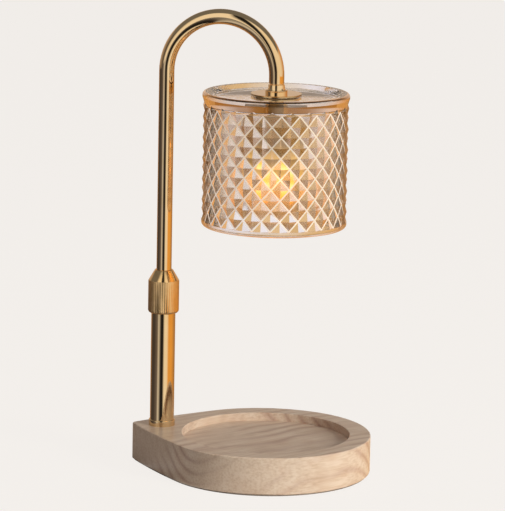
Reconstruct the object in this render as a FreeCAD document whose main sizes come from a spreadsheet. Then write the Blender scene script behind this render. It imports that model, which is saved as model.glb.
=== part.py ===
import FreeCAD, Part
import math
import os

import Sketcher
from FreeCAD import Placement, Rotation, Vector

# Candle warmer lamp. Millimetres, +Z up, z = 0 on the surface it stands on.
# +X runs from the pole towards the candle recess, and x = 0, y = 0 is the middle of the base.

SIZES = {
    # wooden base
    "base_length": 161.0,
    "base_thickness": 24.5,
    "disc_share": 0.4317,
    "side_share": 2.795,
    "tip_radius": 4.5,
    "edge_round": 0.8,
    "recess_rim": 14.0,
    "recess_depth": 5.5,
    "recess_round": 0.5,
    "pole_inset": 20.0,
    "pad_thickness": 1.0,
    "pad_inset": 1.5,
    # counterweight
    "weight_inset": 19.5,
    "weight_thickness": 8.0,
    "weight_gap": 0.4,
    "screw_count": 3,
    "screw_inset": 14.0,
    "screw_shank": 2.0,
    "screw_head": 4.0,
    "screw_length": 15.0,
    "screw_point": 3.0,
    # threaded stem under the pole
    "stem_radius": 5.0,
    "stem_bore": 3.5,
    "stem_gap": 0.3,
    "stem_grip": 12.0,
    "stem_tail": 1.5,
    "nut_pocket_radius": 11.5,
    "nut_pocket_depth": 14.0,
    "stem_washer_radius": 10.5,
    "stem_washer_thickness": 1.5,
    "nut_flats": 14.0,
    "stem_nut_height": 5.0,
    # cord inlet
    "inlet_height": 7.5,
    "inlet_radius": 4.2,
    "cord_hole": 2.7,
    "grommet_flange": 6.0,
    "grommet_lip": 1.2,
    "grommet_reach": 5.0,
    # lower tube
    "tube_radius": 8.0,
    "tube_wall": 1.2,
    "tube_length": 86.0,
    "press_gap": 0.02,
    "insert_height": 14.0,
    "ring_radius": 8.75,
    "ring_height": 4.0,
    "ring_round": 0.6,
    # collet and locking collar
    "collet_spigot": 10.0,
    "collet_flange": 1.5,
    "collet_flange_radius": 7.9,
    "collet_thread": 7.0,
    "collet_body": 9.5,
    "collet_taper": 4.5,
    "collet_tip": 5.9,
    "collet_slot": 1.2,
    "collet_slot_length": 9.0,
    "collet_fingers": 4,
    "collar_radius": 10.25,
    "collar_height": 28.9,
    "collar_skirt": 9.5,
    "collar_cone": 6.9,
    "collar_rim": 6.1,
    "collar_round": 2.0,
    "collar_mouth": 0.7,
    "collar_gap": 0.3,
    "knurl_count": 60,
    "knurl_depth": 0.32,
    "run_gap": 0.06,
    # neck tube and its guide
    "neck_radius": 5.0,
    "neck_wall": 1.0,
    "neck_top": 305.8,
    "bend_radius": 37.0,
    "neck_foot": 50.5,
    "leg_drop": 5.7,
    "leg_grip": 2.5,
    "bush_length": 12.0,
    "clip_radius": 6.2,
    "clip_thickness": 1.0,
    # hardware over the glass
    "ferrule_height": 3.2,
    "ferrule_top": 5.4,
    "ferrule_waist": 5.6,
    "ferrule_foot": 6.0,
    "stepped_height": 2.4,
    "stepped_radius": 7.35,
    "stepped_round": 0.5,
    "top_washer_radius": 16.65,
    "top_washer_thickness": 1.2,
    "gasket_thickness": 0.5,
    "gasket_radius": 13.5,
    # glass shade
    "shade_height": 88.2,
    "shade_band": 48.0,
    "facet_tip": 47.55,
    "facet_root": 45.75,
    "facet_columns": 24,
    "facet_rows": 6,
    "facet_ceiling": 2.8,
    "facet_turn": 3.0,
    "facet_floor": 3.8,
    "facet_overlap": 0.6,
    "band_step": 0.4,
    "band_knee": 46.3,
    "knee_drop": 6.0,
    "band_flank": 7.4,
    "shoulder_round": 2.0,
    "ceiling_round": 3.0,
    "shade_bore": 42.5,
    "shade_plate": 5.0,
    "dish_depth": 2.4,
    "dish_radius": 39.5,
    "rim_radius": 43.0,
    "shade_hole": 5.4,
    "shade_foot_round": 2.4,
    # lamp holder under the glass
    "inner_washer_radius": 15.0,
    "inner_washer_thickness": 1.2,
    "lock_nut_height": 3.5,
    "nipple_tail": 1.5,
    "cup_radius": 15.0,
    "cup_wall": 0.8,
    "cup_height": 24.0,
    "holder_radius": 13.2,
    "holder_height": 14.0,
    "holder_recess": 2.0,
    "side_screw_radius": 1.5,
    "side_screw_head": 2.8,
    "side_screw_length": 4.5,
    "side_screw_rise": 10.0,
    "contact_thickness": 0.5,
    "contact_radius": 2.2,
    "lead_radius": 0.9,
    "lead_spread": 1.3,
    "splice_radius": 1.2,
    "splice_length": 12.0,
    "splice_inset": 2.0,
    # bulb
    "seat_gap": 0.3,
    "twist_range": 35.0,
    "pin_circle": 5.0,
    "pin_play": 0.25,
    "slot_lip": 2.8,
    "slot_play": 10.0,
    "pin_radius": 1.5,
    "pin_head": 2.5,
    "pin_head_height": 2.0,
    "pin_length": 5.4,
    "bulb_base_radius": 11.5,
    "bulb_base_height": 14.0,
    "bulb_radius": 25.0,
    "bulb_depth": 30.0,
    "bulb_wall": 1.5,
    "bulb_curve": 40.0,
    "bulb_neck": 10.0,
    "lens_thickness": 2.0,
    "lens_gap": 0.2,
    "capsule_radius": 5.0,
    "capsule_length": 17.0,
    "capsule_wall": 1.0,
    "filament_radius": 0.8,
    "filament_length": 6.0,
    "filament_drop": 9.0,
    "filament_post": 0.3,
}

# Where things sit, worked out from the sizes above.
PLACES = {
    "disc_radius": "Sizes.base_length * Sizes.disc_share",
    "side_radius": "Sizes.base_length * Sizes.side_share",
    "recess_radius": "disc_radius - Sizes.recess_rim",
    "weight_radius": "disc_radius - Sizes.weight_inset",
    "screw_circle": "weight_radius - Sizes.screw_inset",
    "pole_x": "Sizes.pole_inset - Sizes.base_length / 2",
    "disc_x": "Sizes.base_length / 2 - disc_radius",
    "tip_x": "Sizes.tip_radius - Sizes.base_length / 2",
    "head_x": "pole_x + 2 * Sizes.bend_radius",
    "wood_foot": "Sizes.pad_thickness",
    "wood_top": "wood_foot + Sizes.base_thickness",
    "nut_ceiling": "wood_foot + Sizes.nut_pocket_depth",
    "stem_nut_foot": "nut_ceiling - Sizes.stem_washer_thickness - Sizes.stem_nut_height",
    "stem_foot": "stem_nut_foot - Sizes.stem_tail",
    "tube_bore": "Sizes.tube_radius - Sizes.tube_wall",
    "tube_top": "wood_top + Sizes.tube_length",
    "collar_foot": "tube_top - Sizes.collar_skirt",
    "neck_bore": "Sizes.neck_radius - Sizes.neck_wall",
    "bend_z": "Sizes.neck_top - Sizes.neck_radius - Sizes.bend_radius",
    "bush_foot": "Sizes.neck_foot + Sizes.clip_thickness + Sizes.collar_gap",
    "ferrule_z": "bend_z - Sizes.leg_drop - Sizes.ferrule_height",
    "stepped_z": "ferrule_z - Sizes.stepped_height",
    "washer_z": "stepped_z - Sizes.top_washer_thickness",
    "dish_z": "washer_z - Sizes.gasket_thickness",
    "shade_foot": "dish_z + Sizes.dish_depth - Sizes.shade_height",
    "ceiling_z": "dish_z - Sizes.shade_plate",
    "inner_washer_z": "ceiling_z - Sizes.gasket_thickness - Sizes.inner_washer_thickness",
    "cup_foot": "inner_washer_z - Sizes.cup_height",
    "lock_nut_z": "inner_washer_z - Sizes.cup_wall - Sizes.lock_nut_height",
    "nipple_foot": "lock_nut_z - Sizes.nipple_tail",
    "holder_foot": "cup_foot - Sizes.holder_recess",
    "holder_top": "holder_foot + Sizes.holder_height",
    "bulb_seat": "holder_foot - Sizes.seat_gap",
    "bulb_neck_z": "bulb_seat - Sizes.bulb_base_height",
    "bulb_mouth": "bulb_neck_z - Sizes.bulb_depth",
    "stem_fit": "Sizes.stem_radius + Sizes.press_gap",
    "stem_clear": "Sizes.stem_radius + Sizes.stem_gap",
    "nut_corner": "Sizes.nut_flats / sqrt(3)",
    "leg_end": "ferrule_z + Sizes.ferrule_height - Sizes.leg_grip",
    "lead_foot": "Sizes.neck_foot + Sizes.splice_inset + Sizes.splice_length",
    "side_screw_z": "holder_foot + Sizes.side_screw_rise",
    "slot_depth": "Sizes.pin_length + Sizes.contact_thickness",
    "shade_core": "Sizes.facet_root - Sizes.facet_overlap",
    "facet_top": "Sizes.shade_height - Sizes.facet_ceiling",
    "facet_height": "(facet_top - Sizes.facet_floor) / Sizes.facet_rows",
    # centre of the arc that forms the rear side of the base, and the line from it through the pole
    "arc_to_disc": "side_radius - disc_radius",
    "arc_to_tip": "side_radius - Sizes.tip_radius",
    "disc_to_tip": "disc_x - tip_x",
    "arc_x": "tip_x + (arc_to_tip ^ 2 - arc_to_disc ^ 2 + disc_to_tip ^ 2) / (2 * disc_to_tip)",
    "arc_y": "-sqrt(arc_to_tip ^ 2 - (arc_x - tip_x) ^ 2)",
    "arc_to_pole": "sqrt((pole_x - arc_x) ^ 2 + arc_y ^ 2)",
    "pole_to_side": "side_radius - arc_to_pole",
}

doc = FreeCAD.newDocument("CandleWarmerLamp")


def fill_sheet(name, entries):
    sheet = doc.addObject("Spreadsheet::Sheet", name)
    for row, (alias, content) in enumerate(entries.items(), start=1):
        sheet.set("A%d" % row, alias)
        sheet.set("B%d" % row, content)
        sheet.setAlias("B%d" % row, alias)
    doc.recompute()
    return sheet


sizes = fill_sheet("Sizes", {name: str(number) for name, number in SIZES.items()})
places = fill_sheet("Places", {name: "=" + formula for name, formula in PLACES.items()})


def value(expression):
    # the number that an expression over the two sheets gives now
    return float(sizes.evalExpression(expression))


# ---- helpers for bodies, sketches and features ----

def new_body(label, along="Places.pole_x", height="0", across="0"):
    body = doc.addObject("PartDesign::Body", label)
    body.Label = label
    body.setExpression("Placement.Base.x", along)
    body.setExpression("Placement.Base.y", across)
    body.setExpression("Placement.Base.z", height)
    return body


def new_sketch(body, name, plane="XY_Plane", height=None):
    sketch = body.newObject("Sketcher::SketchObject", name)
    role = [feature for feature in body.Origin.OriginFeatures if feature.Role == plane]
    sketch.AttachmentSupport = [(role[0], "")]
    sketch.MapMode = "FlatFace"
    if height is not None:
        sketch.setExpression("AttachmentOffset.Base.z", height)
    return sketch


def drive(sketch, kind, elements, expression):
    # one dimension of a sketch, bound to the sheets
    number = sketch.addConstraint(Sketcher.Constraint(kind, *elements, value(expression)))
    sketch.setExpression("Constraints[%d]" % number, expression)


def add_polygon(sketch, corners):
    points = [Vector(value(across), value(up), 0) for across, up in corners]
    first = sketch.GeometryCount
    count = len(points)
    for index, point in enumerate(points):
        sketch.addGeometry(Part.LineSegment(point, points[(index + 1) % count]), False)
    for index in range(count):
        following = first + (index + 1) % count
        sketch.addConstraint(Sketcher.Constraint("Coincident", first + index, 2, following, 1))
    for index, (across, up) in enumerate(corners):
        drive(sketch, "DistanceX", (-1, 1, first + index, 1), across)
        drive(sketch, "DistanceY", (-1, 1, first + index, 1), up)


def add_circle(sketch, radius, across="0", up="0"):
    centre = Vector(value(across), value(up), 0)
    number = sketch.addGeometry(Part.Circle(centre, Vector(0, 0, 1), value(radius)), False)
    drive(sketch, "DistanceX", (-1, 1, number, 3), across)
    drive(sketch, "DistanceY", (-1, 1, number, 3), up)
    drive(sketch, "Radius", (number,), radius)


def revolve(body, name, corners):
    # corners are (radius, height) pairs, turned about the body's own Z axis
    sketch = new_sketch(body, name + "_profile", "XZ_Plane")
    add_polygon(sketch, corners)
    feature = body.newObject("PartDesign::Revolution", name)
    feature.Profile = sketch
    feature.ReferenceAxis = (sketch, ["V_Axis"])
    feature.Angle = 360
    doc.recompute()
    return feature


def pad(body, name, sketch, length):
    feature = body.newObject("PartDesign::Pad", name)
    feature.Profile = sketch
    feature.setExpression("Length", length)
    doc.recompute()
    return feature


def pocket(body, name, sketch, length=None, upwards=False):
    before = body.Shape.Volume
    feature = body.newObject("PartDesign::Pocket", name)
    feature.Profile = sketch
    feature.Reversed = upwards
    if length is None:
        feature.Type = "ThroughAll"
    else:
        feature.setExpression("Length", length)
    doc.recompute()
    if body.Shape.Volume >= before:
        raise RuntimeError(name + " cuts nothing")
    return feature


def edges_near(feature, test):
    # names of the feature's edges whose every vertex and middle point pass the test
    names = []
    for number, edge in enumerate(feature.Shape.Edges, start=1):
        middle = edge.valueAt((edge.FirstParameter + edge.LastParameter) / 2)
        points = [vertex.Point for vertex in edge.Vertexes] + [middle]
        if all(test(point) for point in points):
            names.append("Edge%d" % number)
    if not names:
        raise RuntimeError("no edge found on " + feature.Name)
    return names


def fillet(body, name, feature, test, radius):
    round_off = body.newObject("PartDesign::Fillet", name)
    round_off.Base = (feature, edges_near(feature, test))
    round_off.setExpression("Radius", radius)
    doc.recompute()
    return round_off


def on_ring(radius, height, along="0"):
    # a test for points of a circle about a vertical axis
    wanted_radius = value(radius)
    wanted_height = value(height)
    offset = value(along)

    def test(point):
        reach = math.hypot(point.x - offset, point.y)
        return abs(reach - wanted_radius) < 1e-4 and abs(point.z - wanted_height) < 1e-4
    return test


def revolved_body(label, corners, along="Places.pole_x", height="0"):
    body = new_body(label, along, height)
    revolve(body, label + "_turned", corners)
    return body


def cylinder(name, radius, length, along="0", height="0", across="0"):
    solid = doc.addObject("Part::Cylinder", name)
    solid.setExpression("Radius", radius)
    solid.setExpression("Height", length)
    solid.setExpression("Placement.Base.x", along)
    solid.setExpression("Placement.Base.y", across)
    solid.setExpression("Placement.Base.z", height)
    return solid


def boolean(kind, label, first, second):
    result = doc.addObject("Part::" + kind, label)
    result.Base = first
    result.Tool = second
    result.Label = label
    doc.recompute()
    return result


def compound(label, members):
    result = doc.addObject("Part::Compound", label)
    result.Links = members
    result.Label = label
    doc.recompute()
    return result


def polar(body, name, feature, count):
    pattern = body.newObject("PartDesign::PolarPattern", name)
    pattern.Originals = [feature]
    axis = [item for item in body.Origin.OriginFeatures if item.Role == "Z_Axis"][0]
    pattern.Axis = (axis, [""])
    pattern.Angle = 360
    pattern.setExpression("Occurrences", count)
    body.Tip = pattern
    doc.recompute()
    return pattern


def tube(label, inner, outer, length, along="Places.pole_x", height="0"):
    return revolved_body(label, [(inner, "0"), (outer, "0"), (outer, length), (inner, length)], along, height)


def rod(label, radius, length, along, height="0", across="0"):
    body = new_body(label, along, height, across)
    revolve(body, label + "_turned", [("0", "0"), (radius, "0"), (radius, length), ("0", length)])
    return body


def aim(feature, direction):
    # turns the feature's own Z axis to a direction, about its base point
    feature.Placement = Placement(feature.Placement.Base, Rotation(Vector(0, 0, 1), direction))
    doc.recompute()


def hex_nut(label, height, along, foot):
    blank = doc.addObject("Part::Prism", label + "_blank")
    blank.Polygon = 6
    blank.setExpression("Circumradius", "Places.nut_corner")
    blank.setExpression("Height", height)
    blank.setExpression("Placement.Base.x", along)
    blank.setExpression("Placement.Base.z", foot)
    thread = cylinder(label + "_thread", "Places.stem_fit", height, along, foot)
    return boolean("Cut", label, blank, thread)


# ---- wooden base and what is fixed to it ----

def teardrop_sketch(body, name, inset="0", height=None):
    # a large disc and a small tip, joined by two long side arcs that touch both
    sketch = new_sketch(body, name, "XY_Plane", height)
    disc = Vector(value("Places.disc_x"), 0, 0)
    tip = Vector(value("Places.tip_x"), 0, 0)
    disc_radius = value("Places.disc_radius - " + inset)
    tip_radius = value("Sizes.tip_radius - " + inset)
    side_radius = value("Places.side_radius - " + inset)
    rear_centre = Vector(value("Places.arc_x"), value("Places.arc_y"), 0)
    front_centre = Vector(rear_centre.x, -rear_centre.y, 0)
    disc_turn = math.atan2(-rear_centre.y, disc.x - rear_centre.x)
    tip_turn = math.atan2(-rear_centre.y, tip.x - rear_centre.x)

    def arc(centre, radius, start, end):
        circle = Part.Circle(centre, Vector(0, 0, 1), radius)
        return sketch.addGeometry(Part.ArcOfCircle(circle, start, end), False)
    disc_arc = arc(disc, disc_radius, -disc_turn, disc_turn)
    rear_arc = arc(rear_centre, side_radius, disc_turn, tip_turn)
    tip_arc = arc(tip, tip_radius, tip_turn, 2 * math.pi - tip_turn)
    front_arc = arc(front_centre, side_radius, -tip_turn, -disc_turn)
    chain = (disc_arc, rear_arc, tip_arc, front_arc, disc_arc)
    for one, other in zip(chain, chain[1:]):
        sketch.addConstraint(Sketcher.Constraint("Tangent", one, 2, other, 1))
    for number, centre, radius in (
        (disc_arc, "Places.disc_x", "Places.disc_radius - " + inset),
        (tip_arc, "Places.tip_x", "Sizes.tip_radius - " + inset),
    ):
        drive(sketch, "DistanceX", (-1, 1, number, 3), centre)
        sketch.addConstraint(Sketcher.Constraint("PointOnObject", number, 3, -1))
        drive(sketch, "Radius", (number,), radius)
    drive(sketch, "Radius", (rear_arc,), "Places.side_radius - " + inset)
    sketch.addConstraint(Sketcher.Constraint("Equal", rear_arc, front_arc))
    return sketch


def side_normal():
    # square to the rear side wall, on the line from that wall's centre through the pole
    centre = Vector(value("Places.arc_x"), value("Places.arc_y"), 0)
    pole = Vector(value("Places.pole_x"), 0, 0)
    return (pole - centre).normalize()


def screw_centres(along="0"):
    # places of the counterweight's screws, evenly round a point on the X axis
    count = int(value("Sizes.screw_count"))
    turns = [360.0 * (number + 0.5) / count for number in range(count)]
    return [
        ("%s + Places.screw_circle * cos(%g)" % (along, turn), "Places.screw_circle * sin(%g)" % turn)
        for turn in turns
    ]


def make_wood_base():
    body = new_body("wood_blank", "0", "Places.wood_foot")
    outline = teardrop_sketch(body, "base_outline")
    pad(body, "base_block", outline, "Sizes.base_thickness")
    recess = new_sketch(body, "recess_circle", height="Sizes.base_thickness")
    add_circle(recess, "Places.recess_radius", "Places.disc_x")
    pocket(body, "candle_recess", recess, "Sizes.recess_depth")
    stem = new_sketch(body, "stem_circle", height="Sizes.base_thickness")
    add_circle(stem, "Places.stem_clear", "Places.pole_x")
    pocket(body, "stem_hole", stem)
    nut_room = new_sketch(body, "nut_circle")
    add_circle(nut_room, "Sizes.nut_pocket_radius", "Places.pole_x")
    pocket(body, "nut_pocket", nut_room, "Sizes.nut_pocket_depth", upwards=True)
    pilots = new_sketch(body, "pilot_circles")
    for across, up in screw_centres("Places.disc_x"):
        add_circle(pilots, "Sizes.screw_shank + Sizes.press_gap", across, up)
    pocket(body, "pilot_holes", pilots, "Sizes.weight_gap + Sizes.screw_length", upwards=True)
    weight_room = new_sketch(body, "weight_circle")
    add_circle(weight_room, "Places.weight_radius + Sizes.weight_gap", "Places.disc_x")
    weight_depth = "Sizes.weight_thickness + Sizes.weight_gap"
    last = pocket(body, "weight_pocket", weight_room, weight_depth, upwards=True)
    top = value("Sizes.base_thickness")
    recess_reach = value("Places.recess_radius") + 1
    nut_reach = value("Sizes.nut_pocket_radius") + 1

    def on_outline(point):
        # the outer edge of the top and bottom faces, outside every recess and hole
        from_disc = math.hypot(point.x - value("Places.disc_x"), point.y)
        from_pole = math.hypot(point.x - value("Places.pole_x"), point.y)
        level = min(abs(point.z), abs(point.z - top)) < 1e-4
        return level and from_disc > recess_reach and from_pole > nut_reach
    edges = fillet(body, "outer_rounds", last, on_outline, "Sizes.edge_round")
    lip = on_ring("Places.recess_radius", "Sizes.base_thickness", "Places.disc_x")
    fillet(body, "recess_rounded", edges, lip, "Sizes.recess_round")
    inlet = cylinder("inlet_drill", "Sizes.inlet_radius", "Places.pole_to_side + Sizes.grommet_lip",
                     "Places.pole_x", "Places.wood_foot + Sizes.inlet_height")
    aim(inlet, side_normal())
    return boolean("Cut", "wood_base", body, inlet)


def make_base_pad():
    body = new_body("base_pad", "0")
    outline = teardrop_sketch(body, "pad_outline", "Sizes.pad_inset")
    pad(body, "pad_sheet", outline, "Sizes.pad_thickness")
    return body


def make_weight_plate():
    body = new_body("weight_plate", "Places.disc_x", "Places.wood_foot + Sizes.weight_gap")
    disc = new_sketch(body, "plate_circle")
    add_circle(disc, "Places.weight_radius")
    pad(body, "plate_disc", disc, "Sizes.weight_thickness")
    holes = new_sketch(body, "plate_holes")
    for across, up in screw_centres():
        add_circle(holes, "Sizes.screw_shank + Sizes.press_gap", across, up)
    drilled = pocket(body, "plate_drilled", holes, upwards=True)
    inner = value("Places.screw_circle - Sizes.screw_head")
    outer = value("Places.screw_circle + Sizes.screw_head")

    def on_hole_mouth(point):
        return abs(point.z) < 1e-4 and inner < math.hypot(point.x, point.y) < outer
    sink = body.newObject("PartDesign::Chamfer", "countersinks")
    sink.Base = (drilled, edges_near(drilled, on_hole_mouth))
    sink.setExpression("Size", "Sizes.screw_head - Sizes.screw_shank")
    doc.recompute()
    return body


def make_weight_screws():
    members = []
    for number, (across, up) in enumerate(screw_centres("Places.disc_x")):
        body = new_body("weight_screw_%d" % number, across, "Places.wood_foot + Sizes.weight_gap", up)
        revolve(body, "screw_%d_turned" % number, [
            ("0", "0"),
            ("Sizes.screw_head", "0"),
            ("Sizes.screw_shank", "Sizes.screw_head - Sizes.screw_shank"),
            ("Sizes.screw_shank", "Sizes.screw_length - Sizes.screw_point"),
            ("0", "Sizes.screw_length"),
        ])
        members.append(body)
    return compound("weight_screws", members)


def make_cable_grommet():
    wall = "Places.pole_to_side"
    body = new_body("cable_grommet", "Places.pole_x", "Places.wood_foot + Sizes.inlet_height")
    revolve(body, "grommet_turned", [
        ("Sizes.cord_hole", wall + " - Sizes.grommet_reach"),
        ("Sizes.inlet_radius - Sizes.press_gap", wall + " - Sizes.grommet_reach"),
        ("Sizes.inlet_radius - Sizes.press_gap", wall),
        ("Sizes.grommet_flange", wall),
        ("Sizes.grommet_flange - Sizes.grommet_lip / 2", wall + " + Sizes.grommet_lip"),
        ("Sizes.cord_hole", wall + " + Sizes.grommet_lip"),
    ])
    aim(body, side_normal())
    return body


def make_stem_parts():
    tube("stem_nipple", "Sizes.stem_bore", "Sizes.stem_radius",
         "Places.wood_top + Sizes.stem_grip - Places.stem_foot", height="Places.stem_foot")
    tube("stem_washer", "Places.stem_clear", "Sizes.stem_washer_radius", "Sizes.stem_washer_thickness",
         height="Places.nut_ceiling - Sizes.stem_washer_thickness")
    hex_nut("stem_nut", "Sizes.stem_nut_height", "Places.pole_x", "Places.stem_nut_foot")
    tube("tube_insert", "Places.stem_fit", "Places.tube_bore - Sizes.press_gap", "Sizes.insert_height",
         height="Places.wood_top")
    tube("lower_tube", "Places.tube_bore", "Sizes.tube_radius", "Sizes.tube_length", height="Places.wood_top")


def make_base_ring():
    body = new_body("base_ring", height="Places.wood_top")
    inner = "Sizes.tube_radius + Sizes.press_gap"
    ring = revolve(body, "ring_turned", [
        (inner, "0"),
        ("Sizes.ring_radius", "0"),
        ("Sizes.ring_radius", "Sizes.ring_height"),
        (inner, "Sizes.ring_height"),
    ])
    edge = on_ring("Sizes.ring_radius", "Sizes.ring_height")
    fillet(body, "ring_rounded", ring, edge, "Sizes.ring_round")
    return body


# ---- collet, locking collar and guide ----

def make_collet():
    bore = "Sizes.neck_radius + Sizes.run_gap"
    spigot = "Places.tube_bore - Sizes.press_gap"
    flange_top = "Sizes.collet_spigot + Sizes.collet_flange"
    thread_top = flange_top + " + Sizes.collet_body"
    tip = thread_top + " + Sizes.collet_taper"
    body = new_body("collet", height="Places.tube_top - Sizes.collet_spigot")
    revolve(body, "collet_turned", [
        (bore, "0"),
        (spigot, "0"),
        (spigot, "Sizes.collet_spigot"),
        ("Sizes.collet_flange_radius", "Sizes.collet_spigot"),
        ("Sizes.collet_flange_radius", flange_top),
        ("Sizes.collet_thread", flange_top),
        ("Sizes.collet_thread", thread_top),
        ("Sizes.collet_tip", tip),
        (bore, tip),
    ])
    slot = new_sketch(body, "slot_outline", height=tip)
    add_polygon(slot, [
        ("Sizes.neck_radius / 2", "-Sizes.collet_slot / 2"),
        ("Sizes.collet_thread + 1", "-Sizes.collet_slot / 2"),
        ("Sizes.collet_thread + 1", "Sizes.collet_slot / 2"),
        ("Sizes.neck_radius / 2", "Sizes.collet_slot / 2"),
    ])
    cut = pocket(body, "collet_slot", slot, "Sizes.collet_slot_length")
    polar(body, "collet_slots", cut, "Sizes.collet_fingers")
    return body


def make_collar():
    skirt_top = "Sizes.collar_skirt + Sizes.collet_flange + Sizes.collar_gap"
    thread_top = skirt_top + " + Sizes.collet_body"
    cone_foot = "Sizes.collar_height - Sizes.collar_cone"
    body = new_body("locking_collar", height="Places.collar_foot")
    turned = revolve(body, "collar_turned", [
        ("Sizes.tube_radius + Sizes.run_gap", "0"),
        ("Sizes.collar_radius", "0"),
        ("Sizes.collar_radius", cone_foot),
        ("Sizes.collar_rim", "Sizes.collar_height"),
        ("Sizes.neck_radius + Sizes.collar_mouth", "Sizes.collar_height"),
        ("Sizes.neck_radius + Sizes.collar_gap", "Sizes.collar_height - Sizes.collar_mouth"),
        ("Sizes.neck_radius + Sizes.collar_gap", thread_top + " + Sizes.collet_taper"),
        ("Sizes.collet_tip + Sizes.run_gap", thread_top + " + Sizes.collet_taper"),
        ("Sizes.collet_thread + Sizes.run_gap", thread_top),
        ("Sizes.collet_thread + Sizes.run_gap", skirt_top),
        ("Sizes.tube_radius + Sizes.run_gap", skirt_top),
    ])
    foot_edge = on_ring("Sizes.collar_radius", "0")
    fillet(body, "collar_rounded", turned, foot_edge, "Sizes.collar_round")
    groove = new_sketch(body, "knurl_groove", height=cone_foot)
    add_polygon(groove, [
        ("Sizes.collar_radius - Sizes.knurl_depth", "0"),
        ("Sizes.collar_radius + Sizes.knurl_depth", "-Sizes.knurl_depth * 2"),
        ("Sizes.collar_radius + Sizes.knurl_depth", "Sizes.knurl_depth * 2"),
    ])
    cut = pocket(body, "knurl_cut", groove, cone_foot)
    polar(body, "knurl", cut, "Sizes.knurl_count")
    return body


def make_guide():
    tube("guide_bush", "Sizes.neck_radius + Sizes.run_gap", "Places.tube_bore - Sizes.run_gap",
         "Sizes.bush_length", height="Places.bush_foot")
    foot = tube("lower_clip", "Sizes.neck_radius", "Sizes.clip_radius", "Sizes.clip_thickness",
                height="Sizes.neck_foot")
    head = tube("upper_clip", "Sizes.neck_radius", "Sizes.clip_radius", "Sizes.clip_thickness",
                height="Places.bush_foot + Sizes.bush_length + Sizes.collar_gap")
    compound("guide_clips", [foot, head])


# ---- neck ----

def arch_path(body, name, start, end):
    # up the pole, round the half-circle arch and down over the head, in the plane y = 0
    sketch = new_sketch(body, name, "XZ_Plane")
    bend = value("Places.bend_z")
    radius = value("Sizes.bend_radius")
    spots = [Vector(0, value(start), 0), Vector(0, bend, 0),
             Vector(2 * radius, bend, 0), Vector(2 * radius, value(end), 0)]
    up_line = sketch.addGeometry(Part.LineSegment(spots[0], spots[1]), False)
    circle = Part.Circle(Vector(radius, bend, 0), Vector(0, 0, 1), radius)
    arch = sketch.addGeometry(Part.ArcOfCircle(circle, 0, math.pi), False)
    down_line = sketch.addGeometry(Part.LineSegment(spots[2], spots[3]), False)
    sketch.addConstraint(Sketcher.Constraint("Coincident", up_line, 2, arch, 2))
    sketch.addConstraint(Sketcher.Constraint("Coincident", arch, 1, down_line, 1))
    drive(sketch, "DistanceX", (-1, 1, up_line, 1), "0")
    drive(sketch, "DistanceY", (-1, 1, up_line, 1), start)
    drive(sketch, "DistanceX", (-1, 1, arch, 3), "Sizes.bend_radius")
    for corner in (1, 2, 3):
        drive(sketch, "DistanceY", (-1, 1, arch, corner), "Places.bend_z")
    drive(sketch, "DistanceX", (-1, 1, down_line, 2), "2 * Sizes.bend_radius")
    drive(sketch, "DistanceY", (-1, 1, down_line, 2), end)
    drive(sketch, "Radius", (arch,), "Sizes.bend_radius")
    return sketch


def piped_body(label, start, end, radii, across="0"):
    body = new_body(label, "Places.pole_x", "0", across)
    ring = new_sketch(body, label + "_ring", height=start)
    for radius in radii:
        add_circle(ring, radius)
    path = arch_path(body, label + "_path", start, end)
    pipe = body.newObject("PartDesign::AdditivePipe", label + "_pipe")
    pipe.Profile = ring
    pipe.Spine = path
    doc.recompute()
    return body


def make_neck():
    wall = ("Sizes.neck_radius", "Places.neck_bore")
    piped_body("gooseneck_tube", "Sizes.neck_foot", "Places.leg_end", wall)
    sides = (("rear", "Sizes.lead_spread"), ("front", "-Sizes.lead_spread"))
    leads = [
        piped_body("lead_" + side, "Places.lead_foot", "Places.holder_top", ("Sizes.lead_radius",), across)
        for side, across in sides
    ]
    compound("holder_leads", leads)
    splices = [
        rod("splice_" + side, "Sizes.splice_radius", "Sizes.splice_length", "Places.pole_x",
            "Places.lead_foot - Sizes.splice_length", across)
        for side, across in sides
    ]
    compound("lead_splices", splices)


def make_leg_hardware():
    revolved_body("neck_ferrule", [
        ("Places.stem_fit", "0"),
        ("Sizes.ferrule_foot", "0"),
        ("Sizes.ferrule_waist", "Sizes.ferrule_height / 3"),
        ("Sizes.ferrule_top", "Sizes.ferrule_height"),
        ("Places.stem_fit", "Sizes.ferrule_height"),
    ], "Places.head_x", "Places.ferrule_z")
    nut = new_body("stepped_nut", "Places.head_x", "Places.stepped_z")
    turned = revolve(nut, "stepped_turned", [
        ("Places.stem_fit", "0"),
        ("Sizes.stepped_radius", "0"),
        ("Sizes.stepped_radius", "Sizes.stepped_height"),
        ("Places.stem_fit", "Sizes.stepped_height"),
    ])
    rim = on_ring("Sizes.stepped_radius", "Sizes.stepped_height")
    fillet(nut, "stepped_rounded", turned, rim, "Sizes.stepped_round")
    tube("top_washer", "Places.stem_clear", "Sizes.top_washer_radius", "Sizes.top_washer_thickness",
         "Places.head_x", "Places.washer_z")
    tube("upper_gasket", "Places.stem_clear", "Sizes.gasket_radius", "Sizes.gasket_thickness",
         "Places.head_x", "Places.dish_z")
    tube("lower_gasket", "Places.stem_clear", "Sizes.gasket_radius", "Sizes.gasket_thickness",
         "Places.head_x", "Places.ceiling_z - Sizes.gasket_thickness")
    tube("inner_washer", "Places.stem_clear", "Sizes.inner_washer_radius", "Sizes.inner_washer_thickness",
         "Places.head_x", "Places.inner_washer_z")
    hex_nut("lock_nut", "Sizes.lock_nut_height", "Places.head_x", "Places.lock_nut_z")
    tube("shade_nipple", "Sizes.stem_bore", "Sizes.stem_radius",
         "Places.leg_end - Sizes.seat_gap - Places.nipple_foot", "Places.head_x", "Places.nipple_foot")


# ---- glass shade ----

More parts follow.
